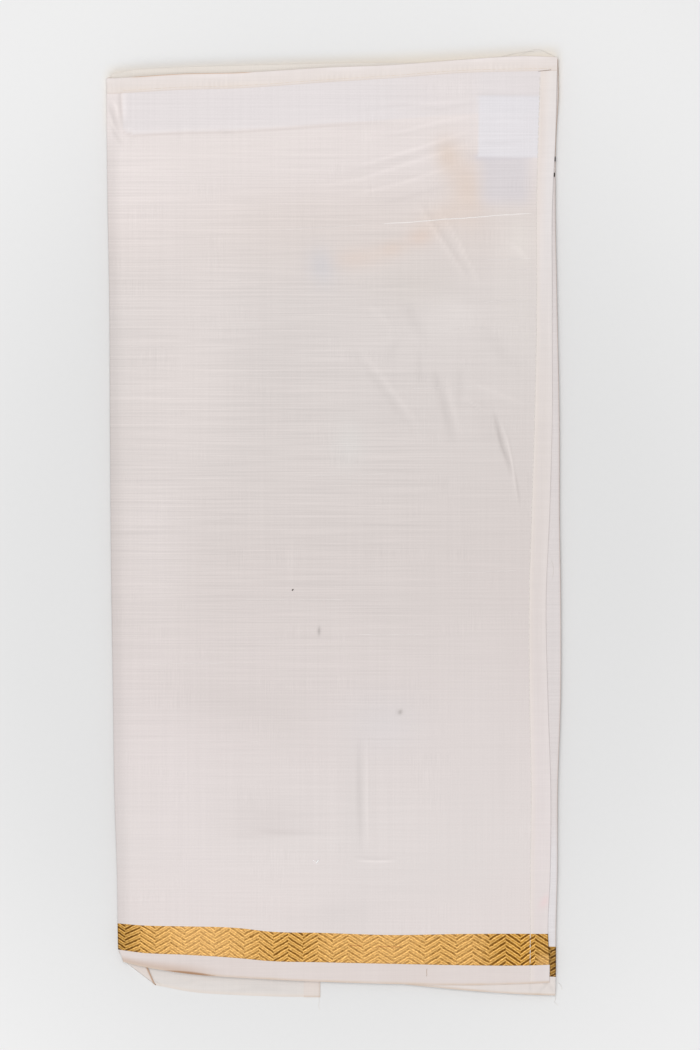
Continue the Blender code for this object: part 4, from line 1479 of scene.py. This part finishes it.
# Small hard specks and two dark spots: start, end, radius, colour. The two dark spots lie in the narrow gap
# beside the top stretch's end, at its height
SPECKS = (
    ((-26.5, -41.2), (-25.6, -40.2), 0.42, srgb(70, 58, 52)),
    ((-10.9, -218.6), (-9.1, -216.0), 0.55, srgb(254, 254, 254)),
    ((-12.8, -216.4), (-11.4, -217.4), 0.20, srgb(254, 254, 254)),
    ((144.6, 241.0), (144.5, 237.6), 0.42, srgb(60, 50, 44)),
    ((144.2, 230.6), (143.9, 227.6), 0.42, srgb(40, 34, 30)),
)


def build_threads_and_specks():
    parts = [tube(smooth_path(points, 24), 0.08) for points in THREADS]
    colours = [srgb(228, 223, 216)] * len(parts)
    for points, colour in LAID_THREADS:
        x, y = (np.array(line) for line in zip(*points))
        surface = np.where(y > HEM_SEAM(x), on_hem(x, y), on_silk(x, y))
        parts.append(tube(np.stack([x, y, surface + 0.1], axis=1), 0.12, 5))
        colours.append(colour)
    for start, end, radius, colour in SPECKS:
        x, y = np.array([[start[0]]]), np.array([[start[1]]])
        beside_top = x > END(y)
        z = np.where(beside_top, TOP, on_silk(x, y) + radius * 0.6)[0, 0]
        parts.append(capsule((*start, z), (*end, z + 0.02), radius))
        colours.append(colour)
    for start, end, radius in SLUBS:
        share = np.linspace(0, 1, 41)
        x = start[0] + (end[0] - start[0]) * share
        y = start[1] + (end[1] - start[1]) * share + 0.25 * waves(x, 37, start[1])
        z = on_silk(x, y) - 0.10 + 0.14 * np.sin(math.pi * share)
        parts.append(tube(np.stack([x, y, z], axis=1), 1.3 * radius, 8, 0.3))
        colours.append(MAIN_SLUB_COLOUR if radius > 0.2 else SLUB_COLOUR)
    return joined("loose_threads", parts, colours)


# ---- Scene -----------------------------------------------------------------------------------


def build_floor():
    bpy.ops.mesh.primitive_plane_add(size=30, location=(0, 0, 0))
    floor = bpy.context.object
    floor.name = "floor"
    floor.data.materials.append(floor_material())


def area_light(name, place, size, power, colour):
    data = bpy.data.lights.new(name, "AREA")
    data.shape = "DISK"
    data.size = size
    data.energy = power
    data.color = colour
    made = bpy.data.objects.new(name, data)
    bpy.context.scene.collection.objects.link(made)
    made.location = place
    made.rotation_euler = made.location.to_track_quat("Z", "Y").to_euler()


def build_lights():
    area_light("key light", (-0.45, -1.6, 1.9), 1.5, 11, (0.985, 0.99, 1.0))
    area_light("overhead light", (-0.2, 0.3, 3.2), 1.6, 50, (1.0, 0.992, 0.985))
    world = bpy.data.worlds.new("soft daylight")
    world.use_nodes = True
    background = world.node_tree.nodes["Background"]
    background.inputs["Color"].default_value = (0.99, 0.995, 1.0, 1.0)
    background.inputs["Strength"].default_value = 0.42
    bpy.context.scene.world = world


def build_camera():
    height = 2.4
    view_length = 0.6825  # of the surface, from the picture's bottom to its top
    aside, above = 11.2, 1.5  # the picture's middle, from the cloth's
    sensor = 36.0
    data = bpy.data.cameras.new("camera")
    data.sensor_width = sensor
    data.lens = sensor * (height - TOP * MM) / view_length
    camera = bpy.data.objects.new("camera", data)
    bpy.context.scene.collection.objects.link(camera)
    low, high = cad_box
    middle = (low + high) / 2
    camera.location = (middle.x + aside * MM, middle.y + above * MM, height)
    bpy.context.scene.camera = camera


build_floor()
build_camera()
build_lights()
top_field, top_parts = build_top_stretch()
top_parts.append(build_waist_hem())
top_parts.extend(build_end_hem())
top_parts.extend(build_facing_and_label())
top_parts.append(build_stitches())
top_parts.append(build_threads_and_specks())
build_second_stretch()
build_hidden_stretches()
build_inner_end()

bpy.context.scene.view_settings.view_transform = "Standard"
bpy.context.view_layer.update()
